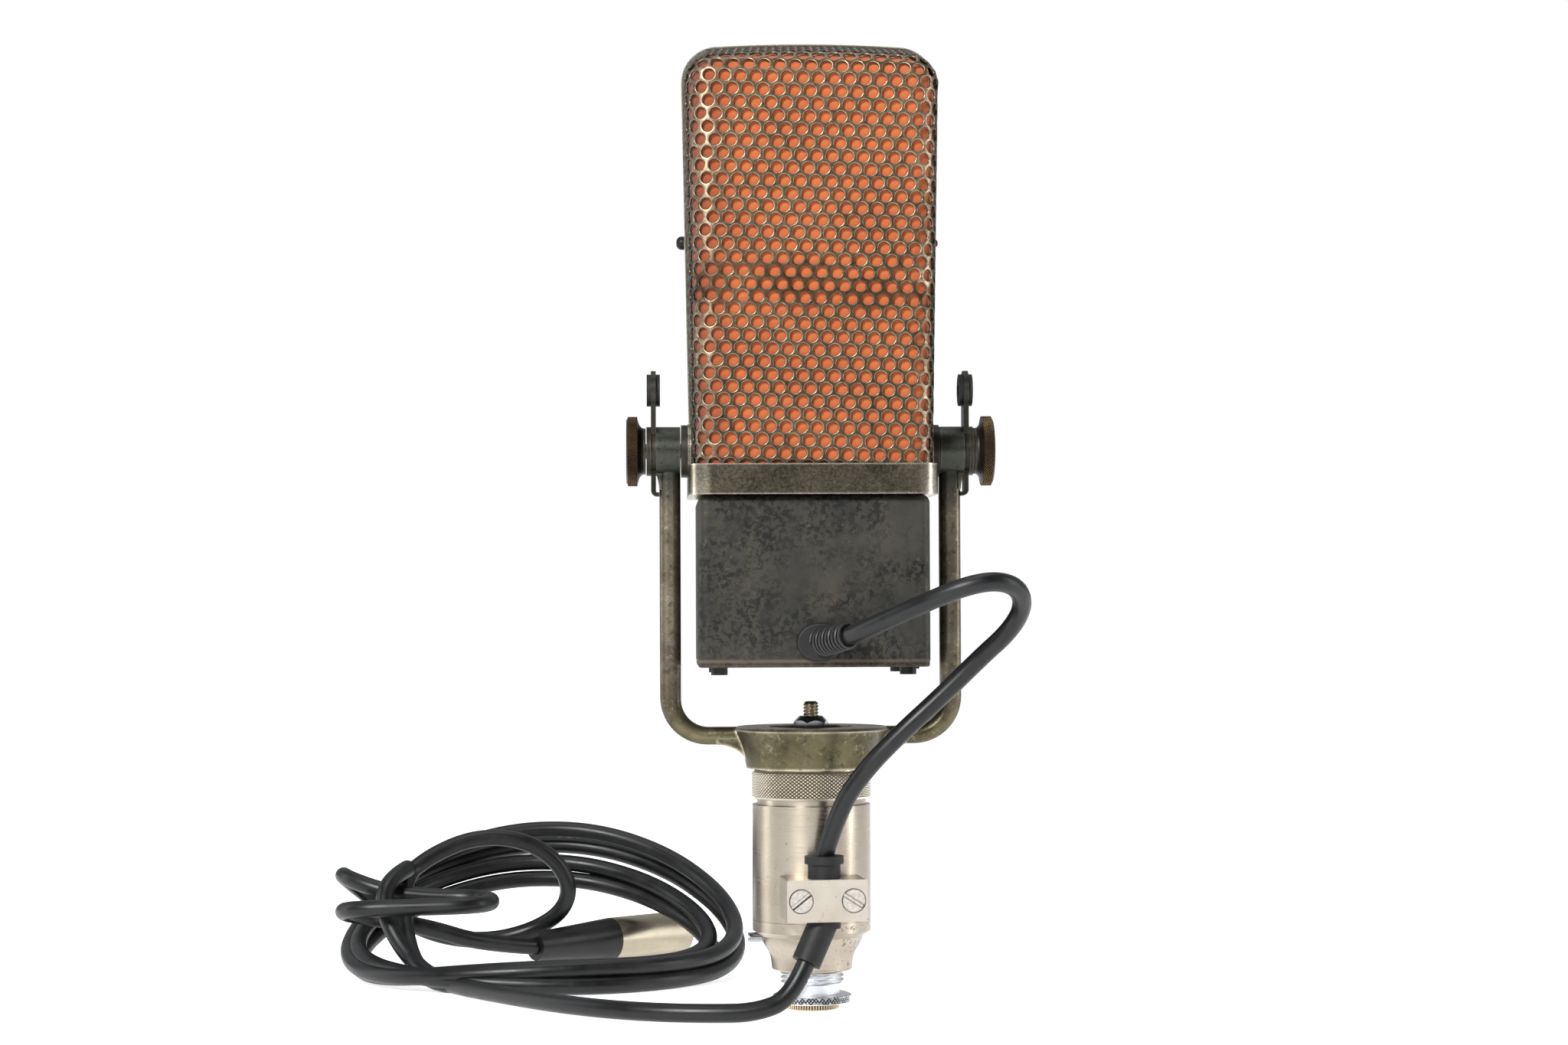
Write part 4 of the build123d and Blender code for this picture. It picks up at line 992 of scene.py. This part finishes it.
def make_knobs():
    for side, word in ((-1, "left"), (1, "right")):
        low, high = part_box(f"knob_{word}")
        middle = (0, 0, (low.z + high.z) / 2)
        radius, groove = (high.z - low.z) / 2, 0.0005
        inner, outer = (low.x, high.x) if side > 0 else (high.x, low.x)
        rim_in, rim_out = outer - side * 0.0044, outer - side * 0.0006
        segments = 152
        hub = [
            (0.0031, inner), (0.00925, inner), (0.00925, inner + side * 0.0010),
            (0.0096, inner + side * 0.0017), (0.0106, inner + side * 0.0025),
            (0.0124, inner + side * 0.0031), (radius - groove, rim_in),
        ]
        face = [
            (radius - groove, rim_out), (radius - 0.0014, outer), (0.0104, outer),
            (0.0100, outer - side * 0.0003), (0.0090, outer - side * 0.0003),
            (0.0086, outer), (0.0001, outer),
        ]
        parts = [knurled(rim_in, rim_out, radius, groove, segments // 2, 8, "X", middle)]
        for profile in (hub, face):
            dull = [0.0] * (len(profile) * segments)
            parts.append((*lathe(profile, segments, "X", middle), dull))
        piece = turned_piece(f"knob_{word}_knurled", "knob_bronze", 22, parts)
        stand_for(piece, f"{word}_knob", "dark_bronze", f"knob_{word}")


def make_adapter():
    low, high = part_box("thread_adapter")
    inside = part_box("bell_base")[0].z + 0.004
    flange_top, neck_top = 0.0058, 0.0102
    flange_r, neck_r, thread_r, thread_deep = high.x, 0.0111, 0.0127, 0.0010
    edge, groove, chamfer = 0.0004, 0.0006, 0.0012
    segments = 144
    piece = turned_piece("adapter_threaded", "knurled_chrome", 24, [
        knurled(low.z + edge, flange_top - edge, flange_r, groove, segments // 2, 3),
        lathe([(flange_r - groove, low.z + edge), (flange_r - chamfer, low.z), (ADAPTER_BORE_R, low.z),
               (ADAPTER_BORE_R, inside)], segments),
        lathe([
            (flange_r - groove, flange_top - edge), (flange_r - chamfer, flange_top),
            (neck_r + edge, flange_top), (neck_r, flange_top + edge), (neck_r, neck_top - 0.0003),
            (thread_r - thread_deep, neck_top),
        ], segments),
        helical(neck_top, inside, thread_r, thread_deep, 0.00175, segments),
    ])
    stand_for(piece, MOUNT, "chrome", "thread_adapter")


def make_bush():
    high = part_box("thread_bush")[1]
    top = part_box("thread_adapter")[0].z
    radius, chamfer, deep = high.x, 0.0008, 0.0005
    segments = 120                   # two for each tooth

    def gap(row, step):
        return deep if step % 2 and row in (1, 2) else 0

    profile = [
        (radius - chamfer, 0.0), (radius, 0.0004), (radius, top - 0.0002), (radius - chamfer, top),
        (ADAPTER_BORE_R, top), (ADAPTER_BORE_R, high.z), (STAND_THREAD_R, high.z),
    ]
    # no wear in the gaps between the teeth, so bush_brass paints shade there
    wear = [0.0 if gap(row, step) else 1.0 for row in range(len(profile)) for step in range(segments)]
    piece = turned_piece("bush_serrated", "bush_brass", 24, [
        (*lathe(profile, segments, cut=gap), wear),
        lathe([(radius - chamfer, 0.0), (STAND_THREAD_R, 0.0)], segments),
        helical(0.0, high.z, STAND_THREAD_R, 0.0007, 0.00159, 60, 6),
    ])
    stand_for(piece, MOUNT, "brass", "thread_bush")


def make_stud():
    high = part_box("yoke_stud")[1]
    shoulder, segments = high.z - 0.0007, 48
    piece = turned_piece("stud_threaded", "machined_steel", 30, [
        helical(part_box("yoke_nut")[0].z, shoulder, high.x, 0.0006, 0.00127, segments),
        lathe([(high.x - 0.0004, shoulder), (high.x - 0.0010, high.z), (0.0001, high.z)], segments),
    ])
    stand_for(piece, SWIVEL, "steel", "yoke_stud")


# ---------------------------------------------------------------- CAD nodes that keep their shape
def slotted_steel():
    """Plated screw heads, with painted shade in the slot and round the edge."""
    paint = Paint("slotted_steel")
    fine = paint.noise(900, 3, 0.6)
    shade = paint.mix(paint.ramp(fine, 0.35, 0.7, 0.0, 0.25), rgb(186, 182, 174), rgb(150, 142, 128))
    # painted shade: dark along the slot and round the head's rim
    deep = paint.edges(0.0009, 0.02, 0.2)
    shade = paint.mix(paint.product(deep, 0.85), shade, rgb(46, 40, 33))
    return paint.finish(
        shade, 1.0, paint.ramp(fine, 0.3, 0.7, 0.16, 0.3),
        paint.bump(fine, 0.2, 0.00004))


PAINTS = {
    "slotted_steel": slotted_steel(),
    "yoke_metal": yoke_metal(),
    "band_nickel": band_nickel(),
    "case_patina": case_patina(),
    "bell_nickel": bell_nickel(),
}
# name: colour, stain, roughness, lines, drawn along the axis or not, painted shade in the grooves
for name, (colour, stain, *more) in {
    "satin_nickel": ((168, 159, 146), (134, 123, 106), (0.26, 0.36), 2200, True),
    "plug_nickel": ((176, 168, 150), (140, 130, 108), (0.26, 0.36), 300),
    "knurled_nickel": ((242, 236, 224), (216, 207, 190), (0.36, 0.46), 2200, False, (92, 82, 66)),
    "pale_nickel": ((198, 191, 179), (170, 159, 141), (0.34, 0.46), 300),
    "bright_chrome": ((168, 171, 176), (120, 124, 130), (0.08, 0.2), 400),
    "knurled_chrome": ((226, 228, 231), (196, 199, 204), (0.32, 0.44), 400, False, (70, 72, 76)),
    "machined_steel": ((196, 186, 168), (138, 126, 104), (0.3, 0.42), 500),
    "aged_brass": ((196, 180, 142), (150, 130, 92), (0.3, 0.45), 400),
    "bush_brass": ((216, 202, 172), (176, 158, 124), (0.34, 0.46), 400, False, (84, 66, 44)),
    "copper_wire": ((196, 118, 74), (140, 78, 48), (0.3, 0.4), 900),
    "soft_aluminium": ((210, 212, 214), (180, 182, 186), (0.3, 0.4), 300),
}.items():
    PAINTS[name] = turned_metal(name, rgb(*colour), rgb(*stain), *more)
# name: dark, light and edge colours, roughness, wear, by the mesh's own wear or not
for name, (dark, light, edge, *more) in {
    "dark_bronze": ((34, 34, 31), (56, 54, 48), (98, 88, 70), (0.34, 0.5), 0.1),
    "knob_bronze": ((38, 38, 34), (62, 60, 52), (146, 118, 80), (0.34, 0.5), 0.5, True),
    "magnet_iron": ((70, 70, 72), (96, 96, 98), (150, 150, 150), (0.4, 0.55), 0.4),
}.items():
    PAINTS[name] = worn_metal(name, rgb(*dark), rgb(*light), rgb(*edge), *more)
# name: colour, dusty colour, roughness
for name, (colour, dusty, *more) in {
    "black_rubber": ((15, 15, 16), (30, 31, 33)),
    "plug_rubber": ((15, 15, 16), (26, 26, 27), (0.32, 0.46)),
    "moulded_plastic": ((34, 32, 30), (48, 46, 44), (0.3, 0.42)),
}.items():
    PAINTS[name] = rubber(name, rgb(*colour), rgb(*dusty), *more)

NODE_PAINTS = {
    "satin_nickel": ["swivel_cylinder"],
    "plug_nickel": ["plug_shell"],
    "bell_nickel": ["bell_base"],
    "pale_nickel": ["cable_clamp_block"],
    "bright_chrome": ["bell_set_screw", "yoke_nut"],
    "slotted_steel": ["clamp_screws"],
    "machined_steel": ["lock_washer", "swivel_spindle", "pivot_studs", "transformer_core",
                       "pole_piece_left", "pole_piece_right"],
    "aged_brass": ["plug_pins", "ribbon_clamps"],
    "band_nickel": ["clamp_band", "centre_frame"],
    "yoke_metal": ["yoke"],
    "case_patina": ["transformer_case", "bottom_plate"],
    "dark_bronze": ["tab_plate_left", "tab_plate_right", "knob_washers", "pivot_spacers",
                    "side_screws", "bottom_screws"],
    "black_rubber": ["cable_sleeve", "tab_grommets", "cable_grommet"],
    "plug_rubber": ["plug_boot"],
    "moulded_plastic": ["plug_insert", "terminal_strip"],
    "copper_wire": ["transformer_winding", "ribbon_leads"],
    "magnet_iron": ["magnet_left", "magnet_right"],
    "soft_aluminium": ["motor_base", "top_bridge", "ribbon"],
}


def paint_nodes():
    for paint, nodes in NODE_PAINTS.items():
        for node in nodes:
            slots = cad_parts[node].data.materials
            slots.clear()
            slots.append(PAINTS[paint])


make_camera()
make_cables()
make_stage()
make_head()
make_lock_ring()
make_knobs()
make_adapter()
make_bush()
make_stud()
paint_nodes()
